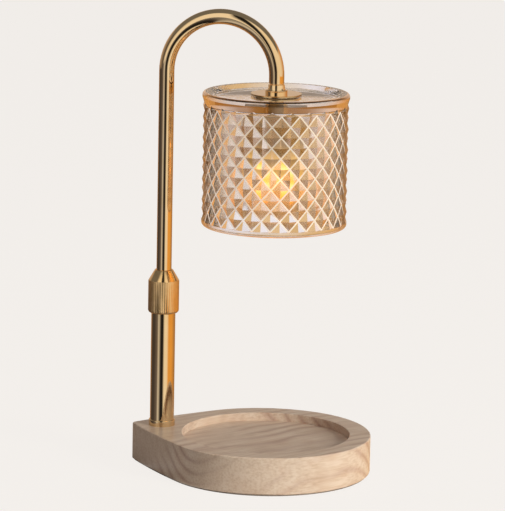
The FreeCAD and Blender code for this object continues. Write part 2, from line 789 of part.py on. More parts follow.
def make_shade_blank():
    # the smooth glass: wall, foot band, top band and dished top plate
    top = "Sizes.shade_height"
    dish = "Sizes.shade_height - Sizes.dish_depth"
    ceiling = "Sizes.shade_height - Sizes.dish_depth - Sizes.shade_plate"
    body = new_body("shade_blank", "Places.head_x", "Places.shade_foot")
    turned = revolve(body, "shade_turned", [
        ("Sizes.shade_bore", "0"),
        ("Sizes.facet_tip", "0"),
        ("Sizes.facet_tip", "Sizes.facet_floor"),
        ("Places.shade_core", "Sizes.facet_floor"),
        ("Places.shade_core", "Places.facet_top - Sizes.band_flank"),
        ("Sizes.band_knee", "Places.facet_top - Sizes.knee_drop"),
        ("Sizes.shade_band", "Places.facet_top - Sizes.band_step"),
        ("Sizes.shade_band", top),
        ("Sizes.rim_radius", top),
        ("Sizes.dish_radius", dish),
        ("Sizes.shade_hole", dish),
        ("Sizes.shade_hole", ceiling),
        ("Sizes.shade_bore", ceiling),
    ])
    rim_edge = on_ring("Sizes.shade_band", top)
    foot_edge = on_ring("Sizes.facet_tip", "0")
    ceiling_edge = on_ring("Sizes.shade_bore", ceiling)
    shoulder = fillet(body, "shade_shoulder", turned, rim_edge, "Sizes.shoulder_round")
    foot = fillet(body, "shade_foot_rounded", shoulder, foot_edge, "Sizes.shade_foot_round")
    fillet(body, "ceiling_rounded", foot, ceiling_edge, "Sizes.ceiling_round")
    return body


def facet_point(radius, step, height):
    # step counts half columns round the shade
    turn = math.radians(value("Sizes.facet_turn") + step * 180.0 / value("Sizes.facet_columns"))
    return Vector(radius * math.cos(turn), radius * math.sin(turn), height)


def make_shade_facets():
    # staggered diamonds, each a low pyramid of four flat facets, closed into a sleeve
    tip = value("Sizes.facet_tip")
    root = value("Sizes.facet_root")
    half = value("Places.facet_height") / 2
    floor = value("Sizes.facet_floor")
    levels = 2 * int(value("Sizes.facet_rows"))
    steps = 2 * int(value("Sizes.facet_columns"))
    faces = []

    def face(*corners):
        faces.append(Part.Face(Part.makePolygon(list(corners) + [corners[0]])))
    for step in range(steps):
        # a column's diamonds are centred on every second level, and end in halves where a level is an end
        for level in range(step % 2, levels + 1, 2):
            middle = floor + level * half
            peak = facet_point(tip, step, middle)
            left = facet_point(root, step - 1, middle)
            right = facet_point(root, step + 1, middle)
            if level < levels:
                above = facet_point(root, step, middle + half)
                face(peak, right, above)
                face(peak, above, left)
            if level > 0:
                below = facet_point(root, step, middle - half)
                face(peak, below, right)
                face(peak, left, below)
    for height in (floor, floor + levels * half):
        ring = []
        for step in range(0, steps, 2):
            ring.append(facet_point(tip, step, height))
            ring.append(facet_point(root, step + 1, height))
        face(*ring)
    shell = Part.Shell(faces)
    shell.sewShape()
    sleeve = Part.Solid(shell)
    if sleeve.Volume < 0:
        sleeve.reverse()
    core = Part.makeCylinder(value("Places.shade_core - Sizes.facet_overlap"), value("Sizes.shade_height"))
    feature = doc.addObject("Part::Feature", "shade_facets")
    feature.Shape = sleeve.cut(core)
    feature.setExpression("Placement.Base.x", "Places.head_x")
    feature.setExpression("Placement.Base.z", "Places.shade_foot")
    doc.recompute()
    return feature


# ---- lamp holder ----

def make_holder_cup():
    inner = "Sizes.cup_radius - Sizes.cup_wall"
    body = new_body("cup_blank", "Places.head_x", "Places.cup_foot")
    turned = revolve(body, "cup_turned", [
        (inner, "0"),
        ("Sizes.cup_radius", "0"),
        ("Sizes.cup_radius", "Sizes.cup_height"),
        ("Places.stem_clear", "Sizes.cup_height"),
        ("Places.stem_clear", "Sizes.cup_height - Sizes.cup_wall"),
        (inner, "Sizes.cup_height - Sizes.cup_wall"),
    ])
    return boolean("Cut", "holder_cup", body, side_bar("cup_drill"))


def side_bar(name):
    # a bar along Y through the two side screws' places
    bar = cylinder(name, "Sizes.side_screw_radius + Sizes.press_gap", "4 * Sizes.cup_radius",
                   "Places.head_x", "Places.side_screw_z", "-2 * Sizes.cup_radius")
    aim(bar, Vector(0, 1, 0))
    return bar


def make_holder_screws():
    members = []
    for side, sign, direction in (("rear", "", 1), ("front", "-", -1)):
        shank = cylinder(side + "_shank", "Sizes.side_screw_radius", "Sizes.side_screw_length",
                         "Places.head_x", "Places.side_screw_z",
                         sign + "(Sizes.cup_radius - Sizes.side_screw_length)")
        head = cylinder(side + "_head", "Sizes.side_screw_head", "Sizes.side_screw_radius",
                        "Places.head_x", "Places.side_screw_z", sign + "Sizes.cup_radius")
        aim(shank, Vector(0, direction, 0))
        aim(head, Vector(0, direction, 0))
        members.append(boolean("Fuse", side + "_side_screw", head, shank))
    return compound("holder_screws", members)


def pin_centre(sign, turn):
    # place of one of the two pins about the lamp's axis, turned from the X axis
    return (sign + "Sizes.pin_circle * cos(%s)" % turn, sign + "Sizes.pin_circle * sin(%s)" % turn)


def arc_slots(body, name, half_width, foot, head):
    # two opposite curved slots, long enough for a pin to turn through its range and fill at both ends
    before = body.Shape.Volume
    section = new_sketch(body, name + "_section", "XZ_Plane")
    inner = "Sizes.pin_circle - %s - Sizes.pin_play" % half_width
    outer = "Sizes.pin_circle + %s + Sizes.pin_play" % half_width
    add_polygon(section, [(inner, foot), (outer, foot), (outer, head), (inner, head)])
    slot = body.newObject("PartDesign::Groove", name)
    slot.Profile = section
    slot.ReferenceAxis = (section, ["V_Axis"])
    slot.Midplane = True
    end = "asin(%s / Sizes.pin_circle)" % half_width
    slot.setExpression("Angle", "(Sizes.twist_range + Sizes.slot_play) * 1 deg + 2 * %s" % end)
    doc.recompute()
    if body.Shape.Volume >= before:
        raise RuntimeError(name + " cuts nothing")
    polar(body, name + "s", slot, "2")


def make_lamp_holder():
    body = new_body("holder_blank", "Places.head_x", "Places.holder_foot")
    revolve(body, "holder_turned", [
        ("0", "0"),
        ("Sizes.holder_radius", "0"),
        ("Sizes.holder_radius", "Sizes.holder_height"),
        ("0", "Sizes.holder_height"),
    ])
    arc_slots(body, "neck_slot", "Sizes.pin_radius", "0", "Sizes.slot_lip")
    arc_slots(body, "head_room", "Sizes.pin_head", "Sizes.slot_lip", "Places.slot_depth")
    entries = new_sketch(body, "entry_circles")
    for sign in ("", "-"):
        across, up = pin_centre(sign, "-Sizes.twist_range / 2")
        add_circle(entries, "Sizes.pin_head + Sizes.pin_play / 2", across, up)
    pocket(body, "entry_holes", entries, "Sizes.slot_lip", upwards=True)
    return boolean("Cut", "lamp_holder", body, side_bar("holder_drill"))


def make_holder_contacts():
    members = []
    for side, sign in (("outer", ""), ("inner", "-")):
        across, up = pin_centre(sign, "Sizes.twist_range / 2")
        members.append(rod("contact_" + side, "Sizes.contact_radius", "Sizes.contact_thickness",
                           "Places.head_x + " + across,
                           "Places.holder_foot + Places.slot_depth - Sizes.contact_thickness", up))
    return compound("holder_contacts", members)


# ---- bulb ----

def make_bulb():
    revolved_body("bulb_base", [
        ("0", "0"),
        ("Sizes.bulb_neck", "0"),
        ("Sizes.bulb_base_radius", "Sizes.bulb_base_height / 3"),
        ("Sizes.bulb_base_radius", "Sizes.bulb_base_height"),
        ("0", "Sizes.bulb_base_height"),
    ], "Places.head_x", "Places.bulb_neck_z")
    pins = []
    for side, sign in (("outer", ""), ("inner", "-")):
        across, up = pin_centre(sign, "Sizes.twist_range / 2")
        body = new_body("pin_" + side, "Places.head_x + " + across, "Places.bulb_seat", up)
        revolve(body, "pin_%s_turned" % side, [
            ("0", "0"),
            ("Sizes.pin_radius", "0"),
            ("Sizes.pin_radius", "Sizes.pin_length - Sizes.pin_head_height"),
            ("Sizes.pin_head", "Sizes.pin_length - Sizes.pin_head_height"),
            ("Sizes.pin_head", "Sizes.pin_length"),
            ("0", "Sizes.pin_length"),
        ])
        pins.append(body)
    compound("bulb_pins", pins)
    make_reflector()
    rod("bulb_lens", "Sizes.bulb_radius - Sizes.bulb_wall - Sizes.lens_gap", "Sizes.lens_thickness",
        "Places.head_x", "Places.bulb_mouth")
    inner = "Sizes.capsule_radius - Sizes.capsule_wall"
    revolved_body("bulb_capsule", [
        ("0", "0"),
        ("Sizes.capsule_radius / 2", "0"),
        ("Sizes.capsule_radius", "Sizes.capsule_radius / 2"),
        ("Sizes.capsule_radius", "Sizes.capsule_length"),
        (inner, "Sizes.capsule_length"),
        (inner, "Sizes.capsule_radius / 2 + Sizes.capsule_wall / 2"),
        ("Sizes.capsule_radius / 2 - Sizes.capsule_wall / 2", "Sizes.capsule_wall"),
        ("0", "Sizes.capsule_wall"),
    ], "Places.head_x", "Places.bulb_neck_z - Sizes.capsule_length")
    make_filament()


def make_reflector():
    # a bowl between two arcs, wide at the mouth
    body = new_body("bulb_reflector", "Places.head_x", "Places.bulb_mouth")
    sketch = new_sketch(body, "reflector_profile", "XZ_Plane")
    corners = [
        ("Sizes.bulb_radius", "0"),
        ("Sizes.bulb_neck", "Sizes.bulb_depth"),
        ("Sizes.bulb_neck - Sizes.bulb_wall", "Sizes.bulb_depth"),
        ("Sizes.bulb_radius - Sizes.bulb_wall", "0"),
    ]
    spots = [Vector(value(across), value(up), 0) for across, up in corners]

    def bulge(foot, head, radius):
        # the arc of that radius from foot to head, curving away from the axis
        chord = head - foot
        outward = Vector(chord.y, -chord.x, 0).normalize()
        rise = radius - math.sqrt(radius ** 2 - (chord.Length / 2) ** 2)
        return Part.Arc(foot, (foot + head) / 2 + outward * rise, head)
    outer = sketch.addGeometry(bulge(spots[0], spots[1], value("Sizes.bulb_curve")), False)
    head = sketch.addGeometry(Part.LineSegment(spots[1], spots[2]), False)
    inner = sketch.addGeometry(bulge(spots[3], spots[2], value("Sizes.bulb_curve - Sizes.bulb_wall")), False)
    foot = sketch.addGeometry(Part.LineSegment(spots[3], spots[0]), False)
    for one, end, other, start in (
        (outer, 2, head, 1), (head, 2, inner, 2), (inner, 1, foot, 1), (foot, 2, outer, 1),
    ):
        sketch.addConstraint(Sketcher.Constraint("Coincident", one, end, other, start))
    for line, end, (across, up) in (
        (foot, 2, corners[0]), (head, 1, corners[1]), (head, 2, corners[2]), (foot, 1, corners[3]),
    ):
        drive(sketch, "DistanceX", (-1, 1, line, end), across)
        drive(sketch, "DistanceY", (-1, 1, line, end), up)
    drive(sketch, "Radius", (outer,), "Sizes.bulb_curve")
    drive(sketch, "Radius", (inner,), "Sizes.bulb_curve - Sizes.bulb_wall")
    bowl = body.newObject("PartDesign::Revolution", "reflector_turned")
    bowl.Profile = sketch
    bowl.ReferenceAxis = (sketch, ["V_Axis"])
    bowl.Angle = 360
    doc.recompute()


def make_filament():
    # the wound filament lies across the capsule, on two posts from the bulb's base
    level = "Places.bulb_neck_z - Sizes.filament_drop"
    coil = cylinder("filament_coil", "Sizes.filament_radius", "Sizes.filament_length",
                    "Places.head_x - Sizes.filament_length / 2", level)
    aim(coil, Vector(1, 0, 0))
    posts = [
        cylinder("filament_post_" + side, "Sizes.filament_post", "Sizes.filament_drop",
                 "Places.head_x %s Sizes.filament_length / 3" % sign, level)
        for side, sign in (("inner", "-"), ("outer", "+"))
    ]
    one_post = boolean("Fuse", "filament_on_post", coil, posts[0])
    boolean("Fuse", "bulb_filament", one_post, posts[1])


# ---- building, checking and writing ----

NODES = (
    "wood_base", "base_pad", "weight_plate", "weight_screws", "cable_grommet", "base_ring", "lower_tube",
    "tube_insert", "stem_nipple", "stem_washer", "stem_nut", "collet", "locking_collar", "guide_bush",
    "guide_clips", "gooseneck_tube", "holder_leads", "lead_splices", "neck_ferrule", "stepped_nut",
    "top_washer", "upper_gasket", "glass_shade", "lower_gasket", "inner_washer", "lock_nut", "shade_nipple",
    "holder_cup", "holder_screws", "lamp_holder", "holder_contacts", "bulb_base", "bulb_pins",
    "bulb_reflector", "bulb_lens", "bulb_capsule", "bulb_filament",
)


def write_nodes():
    failed = [item.Name for item in doc.Objects if "Invalid" in item.State or "Error" in item.State]
    if failed:
        raise RuntimeError("objects in error: " + ", ".join(failed))
    shapes = {}
    for name in NODES:
        found = doc.getObjectsByLabel(name)
        if len(found) != 1:
            raise RuntimeError("%d objects are labelled %s" % (len(found), name))
        shape = found[0].Shape
        if shape.isNull() or not shape.isValid() or not shape.Solids:
            raise RuntimeError(name + " has no valid solid")
        shapes[name] = shape
    for name, shape in shapes.items():
        shape.exportStep("parts/%s.step" % name)
        box = shape.BoundBox
        print("%-16s %d solids %10.1f mm3, z %.1f to %.1f" % (
            name, len(shape.Solids), shape.Volume, box.ZMin, box.ZMax))


os.makedirs("parts", exist_ok=True)
make_wood_base()
make_base_pad()
make_weight_plate()
make_weight_screws()
make_cable_grommet()
make_stem_parts()
make_base_ring()
make_collet()
make_collar()
make_guide()
make_neck()
make_leg_hardware()
boolean("Fuse", "glass_shade", make_shade_blank(), make_shade_facets())
make_holder_cup()
make_holder_screws()
make_lamp_holder()
make_holder_contacts()
make_bulb()
write_nodes()
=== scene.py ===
import math

import bpy
from mathutils import Matrix, Vector


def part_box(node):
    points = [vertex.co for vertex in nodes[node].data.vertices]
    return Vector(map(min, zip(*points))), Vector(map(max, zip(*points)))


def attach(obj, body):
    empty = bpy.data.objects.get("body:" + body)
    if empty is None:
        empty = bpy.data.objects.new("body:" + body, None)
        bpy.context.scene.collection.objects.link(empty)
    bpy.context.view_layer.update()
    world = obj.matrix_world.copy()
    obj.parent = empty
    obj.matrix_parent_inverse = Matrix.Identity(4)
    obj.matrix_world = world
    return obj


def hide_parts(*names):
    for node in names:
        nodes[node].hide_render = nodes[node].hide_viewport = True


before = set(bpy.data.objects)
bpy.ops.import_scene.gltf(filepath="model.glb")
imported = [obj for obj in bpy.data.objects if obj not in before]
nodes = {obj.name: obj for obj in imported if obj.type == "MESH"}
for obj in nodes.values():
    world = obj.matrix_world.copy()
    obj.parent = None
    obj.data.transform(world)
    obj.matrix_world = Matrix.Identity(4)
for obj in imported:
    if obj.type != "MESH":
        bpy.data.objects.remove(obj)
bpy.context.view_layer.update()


def linear(text):
    # sRGB hex to the linear colour that shaders want
    channels = [int(text[i:i + 2], 16) / 255 for i in (1, 3, 5)]
    return [tone / 12.92 if tone <= 0.04045 else ((tone + 0.055) / 1.055) ** 2.4
            for tone in channels] + [1.0]


def addNode(tree, kind, inputs=None, stops=None, **settings):
    # inputs go by name, or by number where names repeat: a Mix node's two colours are 6 and 7 and come
    # out at 2, and its two vectors are 4 and 5 and come out at 1
    made = tree.nodes.new(kind)
    for name, setting in settings.items():
        setattr(made, name, setting)
    for socket, source in (inputs or {}).items():
        if isinstance(source, bpy.types.NodeSocket):
            tree.links.new(source, made.inputs[socket])
        else:
            made.inputs[socket].default_value = source
    if stops:
        ramp = made.color_ramp.elements
        ramp[0].color, ramp[1].color = linear(stops[0][1]), linear(stops[-1][1])
        for position, colour in stops[1:-1]:
            ramp.new(position).color = linear(colour)
    return made


def newMaterial(name):
    material = bpy.data.materials.new(name)
    material.use_nodes = True
    tree = material.node_tree
    tree.nodes.clear()
    output = tree.nodes.new("ShaderNodeOutputMaterial")
    place = addNode(tree, "ShaderNodeTexCoord").outputs["Object"]
    return material, tree, output, place


def dress(material, *names):
    for name in names:
        for slot in nodes[name].material_slots:
            slot.material = material


def footOf(name):
    # the middle of a node's foot, on the upright line that the node is turned about
    low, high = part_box(name)
    return (low.x + high.x) / 2, (low.y + high.y) / 2, low.z


def deselect():
    if bpy.context.object and bpy.context.object.mode != "OBJECT":
        bpy.ops.object.mode_set(mode="OBJECT")
    bpy.ops.object.select_all(action="DESELECT")


def pickMesh(piece):
    deselect()
    piece.select_set(True)
    bpy.context.view_layer.objects.active = piece


def settle(piece):
    # puts the object's origin at the frame's origin, with its place in the mesh
    pickMesh(piece)
    bpy.ops.object.transform_apply(location=True, rotation=True, scale=True)


# metres and degrees, with the lens and the film in millimetres
view = {
    "distance": 2.1097, "turn": 13.40, "height": 0.5490, "aimX": 0.011,
    "yaw": 0.30, "tilt": 10.85, "roll": 1.11, "lens": 230.6, "film": 36, "farClip": 20,
}


def buildCamera():
    camera = bpy.data.objects.new("mainCamera", bpy.data.cameras.new("mainCamera"))
    bpy.context.collection.objects.link(camera)
    turn = math.radians(view["turn"])
    camera.location = (view["aimX"] + view["distance"] * math.sin(turn),
                       -view["distance"] * math.cos(turn), view["height"])
    aim = (Matrix.Rotation(math.radians(view["turn"] + view["yaw"]), 3, "Z")
           @ Matrix.Rotation(math.radians(90 - view["tilt"]), 3, "X")
           @ Matrix.Rotation(math.radians(view["roll"]), 3, "Z"))
    camera.rotation_euler = aim.to_euler()
    camera.data.lens = view["lens"]
    camera.data.sensor_width = view["film"]
    camera.data.clip_end = view["farClip"]
    bpy.context.scene.camera = camera
    bpy.context.scene.view_settings.view_transform = "Standard"
    print("camera in place")


buildCamera()

# metres, with ceilingLean in degrees from the horizon behind the lamp up over the top, and ceilingRise
# as the rise of a ray
studio = {
    "paper": "#F1EDE9", "paperShade": "#EDE8E3", "paperGlow": 1.07, "paperShare": 0.92,
    "floorSize": 6.0, "floorDrop": 0.0002, "farTable": "#CEA468", "tableSpan": 2.0,
    "ceiling": "#777573", "ceilingLean": (126, 114), "ceilingRise": (0.28, 0.42),
    "ambient": 0.17, "ambientTint": "#FFFBF7",
}

# bands go by the share of a full turn from straight behind the lamp (0), by the left (0.25) and the
# camera (0.5) to the right (0.75). Mirrors see a tan wall, felt, a slit of light, a black flag by the
# camera, and a softbox beside a warm card, and higher up a softbox where the slit is
card = {"wall": "#B48858", "felt": "#4A4546", "greyFelt": "#746C6C", "slit": "#E0DEDE", "flag": "#262424",
        "softbox": "#FFF6E8", "warm": "#F4B258", "amber": "#D89C5C", "haze": "#D2BCA8"}
lowBands = [
    (0.0, card["wall"]), (0.08, card["wall"]), (0.17, card["felt"]), (0.26, card["felt"]),
    (0.35, card["greyFelt"]), (0.39, card["slit"]), (0.44, card["felt"]), (0.46, card["flag"]),
    (0.505, card["flag"]), (0.545, card["softbox"]), (0.61, card["softbox"]), (0.66, card["warm"]),
    (0.75, card["warm"]), (0.87, card["wall"]), (1.0, card["wall"])]
highBands = [
    (0.0, card["haze"]), (0.07, card["haze"]), (0.3, card["felt"]), (0.36, card["softbox"]),
    (0.435, card["softbox"]), (0.455, card["flag"]), (0.505, card["flag"]), (0.545, card["softbox"]),
    (0.7, card["softbox"]), (0.85, card["amber"]), (0.94, card["haze"]), (1.0, card["haze"])]

# light through the glass sees a brown room at the horizon, a sky that is pale behind the lamp and amber
# to both sides, and a table that is cool behind the lamp's left and amber elsewhere
roomBands = [
    (0.0, "#A4743A"), (0.05, "#9C6A34"), (0.3, "#98642C"), (0.7, "#B4843E"), (0.95, "#A87436"),
    (1.0, "#A4743A")]
skyBands = [
    (0.0, "#ECEAFA"), (0.08, "#ECEAFA"), (0.2, "#D8A468"), (0.4, "#D09A58"), (0.6, "#DEAE6C"),
    (0.8, "#E8BC7C"), (0.92, "#ECEAFA"), (1.0, "#ECEAFA")]
tableBands = [
    (0.0, "#ECDCCC"), (0.01, "#F4F2FF"), (0.12, "#F4F2FF"), (0.2, "#D8A468"), (0.6, "#E2B478"),
    (0.85, "#E0AE6C"), (0.93, "#E4BC86"), (0.99, "#E4BC86"), (1.0, "#ECDCCC")]
# how much of the room shows at a ray's rise, and how much of the far table at a share of its span
roomHeights = [(0.0, "#FFFFFF"), (0.014, "#FFFFFF"), (0.05, "#000000"), (1.0, "#000000")]
tableReach = [(0.0, "#000000"), (0.5, "#000000"), (0.65, "#FFFFFF"), (1.0, "#FFFFFF")]


def bandColour(tree, vector, bands, centre=(0.0, 0.0, 0.0)):
    # colour by the compass angle of a direction, or of a place seen from a centre
    moved = addNode(tree, "ShaderNodeVectorMath", {0: vector, 1: centre}, operation="SUBTRACT")
    turned = addNode(tree, "ShaderNodeVectorRotate", {
        "Vector": moved.outputs[0], "Angle": math.radians(-view["turn"])}, rotation_type="Z_AXIS")
    parts = addNode(tree, "ShaderNodeSeparateXYZ", {"Vector": turned.outputs[0]}).outputs
    front = addNode(tree, "ShaderNodeMath", {0: parts["Y"], 1: -1.0}, operation="MULTIPLY")
    compass = addNode(tree, "ShaderNodeMath", {0: parts["X"], 1: front.outputs[0]}, operation="ARCTAN2")
    share = addNode(tree, "ShaderNodeMapRange", {
        "Value": compass.outputs[0], "From Min": -math.pi, "From Max": math.pi})
    return addNode(tree, "ShaderNodeValToRGB", {"Fac": share.outputs[0]}, stops=bands).outputs[0]


def buildWorld():
    world = bpy.data.worlds.new("studioWorld")
    bpy.context.scene.world = world
    world.use_nodes = True
    tree = world.node_tree
    tree.nodes.clear()
    output = tree.nodes.new("ShaderNodeOutputWorld")
    rays = addNode(tree, "ShaderNodeLightPath").outputs
    direction = addNode(tree, "ShaderNodeTexCoord").outputs["Generated"]
    rise = addNode(tree, "ShaderNodeSeparateXYZ", {"Vector": direction}).outputs["Z"]
    # a dark ceiling that starts above the tall softbox in front and reaches over to the back
    turned = addNode(tree, "ShaderNodeVectorRotate", {
        "Vector": direction, "Angle": math.radians(-view["turn"])}, rotation_type="Z_AXIS")
    back = addNode(tree, "ShaderNodeSeparateXYZ", {"Vector": turned.outputs[0]}).outputs["Y"]
    lean = addNode(tree, "ShaderNodeMath", {0: rise, 1: back}, operation="ARCTAN2")
    leanStart, leanEnd = studio["ceilingLean"]
    past = addNode(tree, "ShaderNodeMapRange", {
        "Value": lean.outputs[0], "From Min": math.radians(leanStart), "From Max": math.radians(leanEnd)},
        interpolation_type="SMOOTHSTEP")
    riseStart, riseEnd = studio["ceilingRise"]
    high = addNode(tree, "ShaderNodeMapRange", {"Value": rise, "From Min": riseStart, "From Max": riseEnd},
                   interpolation_type="SMOOTHSTEP")
    overhead = addNode(tree, "ShaderNodeMath", {0: past.outputs[0], 1: high.outputs[0]},
                       operation="MULTIPLY")
    mirrored = addNode(tree, "ShaderNodeMix", {
        "Factor": overhead.outputs[0], 6: bandColour(tree, direction, highBands),
        7: linear(studio["ceiling"])}, data_type="RGBA")
    brown = addNode(tree, "ShaderNodeValToRGB", {"Fac": rise}, stops=roomHeights)
    through = addNode(tree, "ShaderNodeMix", {
        "Factor": brown.outputs[0], 6: bandColour(tree, direction, skyBands),
        7: bandColour(tree, direction, roomBands)}, data_type="RGBA")
    shine = addNode(tree, "ShaderNodeBackground", {"Color": mirrored.outputs[2], "Strength": 1.0})
    clear = addNode(tree, "ShaderNodeBackground", {"Color": through.outputs[2], "Strength": 1.0})
    soft = addNode(tree, "ShaderNodeBackground", {
        "Color": linear(studio["ambientTint"]), "Strength": studio["ambient"]})
    paper = addNode(tree, "ShaderNodeBackground", {"Color": linear(studio["paper"]), "Strength": 1.0})
    lit = addNode(tree, "ShaderNodeMixShader", {
        0: rays["Is Glossy Ray"], 1: soft.outputs[0], 2: shine.outputs[0]})
    bent = addNode(tree, "ShaderNodeMixShader", {
        0: rays["Is Transmission Ray"], 1: lit.outputs[0], 2: clear.outputs[0]})
    seen = addNode(tree, "ShaderNodeMixShader", {
        0: rays["Is Camera Ray"], 1: bent.outputs[0], 2: paper.outputs[0]})
    tree.links.new(seen.outputs[0], output.inputs["Surface"])


def buildFloor():
    deselect()
    bpy.ops.mesh.primitive_plane_add(size=studio["floorSize"], location=(0, 0, -studio["floorDrop"]))
    floor = bpy.context.object
    floor.name = "studioFloor"
    material, tree, output, place = newMaterial("floorPaper")
    rays = addNode(tree, "ShaderNodeLightPath").outputs
    lit = addNode(tree, "ShaderNodeBsdfDiffuse", {"Color": linear(studio["paperShade"])})
    away = addNode(tree, "ShaderNodeVectorMath", {0: place}, operation="LENGTH")
    share = addNode(tree, "ShaderNodeMath", {0: away.outputs["Value"], 1: studio["tableSpan"]},
                    operation="DIVIDE", use_clamp=True)
    far = addNode(tree, "ShaderNodeValToRGB", {"Fac": share.outputs[0]}, stops=tableReach)
    near = bandColour(tree, place, tableBands, footOf("glass_shade"))
    table = addNode(tree, "ShaderNodeMix", {
        "Factor": far.outputs[0], 6: near, 7: linear(studio["farTable"])}, data_type="RGBA")
    backing = addNode(tree, "ShaderNodeMix", {
        "Factor": rays["Is Transmission Ray"], 6: linear(studio["paper"]), 7: table.outputs[2]},
        data_type="RGBA")
    plain = addNode(tree, "ShaderNodeEmission", {
        "Color": backing.outputs[2], "Strength": studio["paperGlow"]})
    banded = addNode(tree, "ShaderNodeEmission", {
        "Color": bandColour(tree, place, lowBands, footOf("lower_tube"))})
    direct = addNode(tree, "ShaderNodeMath", {0: rays["Is Camera Ray"], 1: rays["Is Transmission Ray"]},
                     operation="MAXIMUM")
    # the rest of the paper takes the lamps' light, which keeps the shadow on it
    weight = addNode(tree, "ShaderNodeMath", {0: direct.outputs[0], 1: studio["paperShare"]},
                     operation="MULTIPLY")
    mixed = addNode(tree, "ShaderNodeMixShader", {
        0: weight.outputs[0], 1: lit.outputs[0], 2: plain.outputs[0]})
    # light that comes through glass counts as glossy too, so the mirror bands leave it out
    mirrored = addNode(tree, "ShaderNodeMath", {0: rays["Is Glossy Ray"], 1: rays["Is Transmission Ray"]},
                       operation="SUBTRACT", use_clamp=True)
    seen = addNode(tree, "ShaderNodeMixShader", {
        0: mirrored.outputs[0], 1: mixed.outputs[0], 2: banded.outputs[0]})
    tree.links.new(seen.outputs[0], output.inputs["Surface"])
    floor.data.materials.append(material)


# the key lamp's turn is to the camera's right, and its rise is above the table
keyLamp = {"turn": 50, "rise": 16, "distance": 1.6, "aim": (0, 0, 0.05), "size": (0.5, 0.6), "power": 22,
           "tint": "#F3F8F0"}
topLamp = {"place": (-0.2, 0.2, 1.6), "aim": (0, 0, 0.1), "size": (1.4, 1.4), "power": 4.4,
           "tint": "#FBFFFA"}


def addLamp(name, place, look):
    data = bpy.data.lights.new(name, "AREA")
    data.shape = "RECTANGLE"
    data.size, data.size_y = look["size"]
    data.energy = look["power"]
    data.color = linear(look["tint"])[:3]
    lamp = bpy.data.objects.new(name, data)
    bpy.context.collection.objects.link(lamp)
    lamp.location = place
    lamp.rotation_euler = (Vector(look["aim"]) - Vector(place)).to_track_quat("-Z", "Y").to_euler()
    # mirrors and glass see the cards and the room, and not the lamps
    lamp.visible_glossy = False
    lamp.visible_camera = False
    lamp.visible_transmission = False


def buildLights():
    turn = math.radians(view["turn"] + keyLamp["turn"])
    rise = math.radians(keyLamp["rise"])
    reach = keyLamp["distance"] * math.cos(rise)
    height = keyLamp["aim"][2] + keyLamp["distance"] * math.sin(rise)
    addLamp("keyRight", (reach * math.sin(turn), -reach * math.cos(turn), height), keyLamp)
    addLamp("fillTop", topLamp["place"], topLamp)


buildWorld()
buildFloor()
buildLights()
print("studio lit")

# how wide the patches on metal are, in metres: handling haze, drifts of tarnish, and a cast or satin
# grain, which is drawn coarser than the real one so that it shows
metalLook = {"haze": 0.0111, "drift": 0.02, "grain": 0.0004, "grainDepth": 0.0001}


def metalMaterial(name, colour, tarnish, roughness, smudge=0.03, grain=0.0):
    # polished plate: a mirror-like skin with faint handling haze, a touch duller in wide drifts
    material, tree, output, place = newMaterial(name)
    haze = addNode(tree, "ShaderNodeTexNoise", {
        "Vector": place, "Scale": 1 / metalLook["haze"], "Detail": 3.0})
    rough = addNode(tree, "ShaderNodeMapRange", {
        "Value": haze.outputs["Fac"], "To Min": roughness - smudge, "To Max": roughness + smudge})
    drift = addNode(tree, "ShaderNodeTexNoise", {
        "Vector": place, "Scale": 1 / metalLook["drift"], "Detail": 2.0})
    tone = addNode(tree, "ShaderNodeValToRGB", {"Fac": drift.outputs["Fac"]},
                   stops=[(0.0, tarnish), (0.3, tarnish), (0.55, colour), (1.0, colour)])
    shader = addNode(tree, "ShaderNodeBsdfPrincipled", {
        "Base Color": tone.outputs[0], "Metallic": 1.0, "Roughness": rough.outputs[0]})
    if grain:
        fine = addNode(tree, "ShaderNodeTexNoise", {
            "Vector": place, "Scale": 1 / metalLook["grain"], "Detail": 2.0})
        bump = addNode(tree, "ShaderNodeBump", {
            "Height": fine.outputs["Fac"], "Strength": grain, "Distance": metalLook["grainDepth"]})
        tree.links.new(bump.outputs[0], shader.inputs["Normal"])
    tree.links.new(shader.outputs[0], output.inputs["Surface"])
    return material


# the cone is cut off the grip by its height in metres, and blend is how soon the finish changes there
collarLook = {
    "plate": "#F0CD98", "handled": "#E8C48C", "drift": 0.0033, "grain": 0.08,
    "satin": 0.34, "buffed": 0.07, "cone": 0.0069, "blend": 0.0002,
}


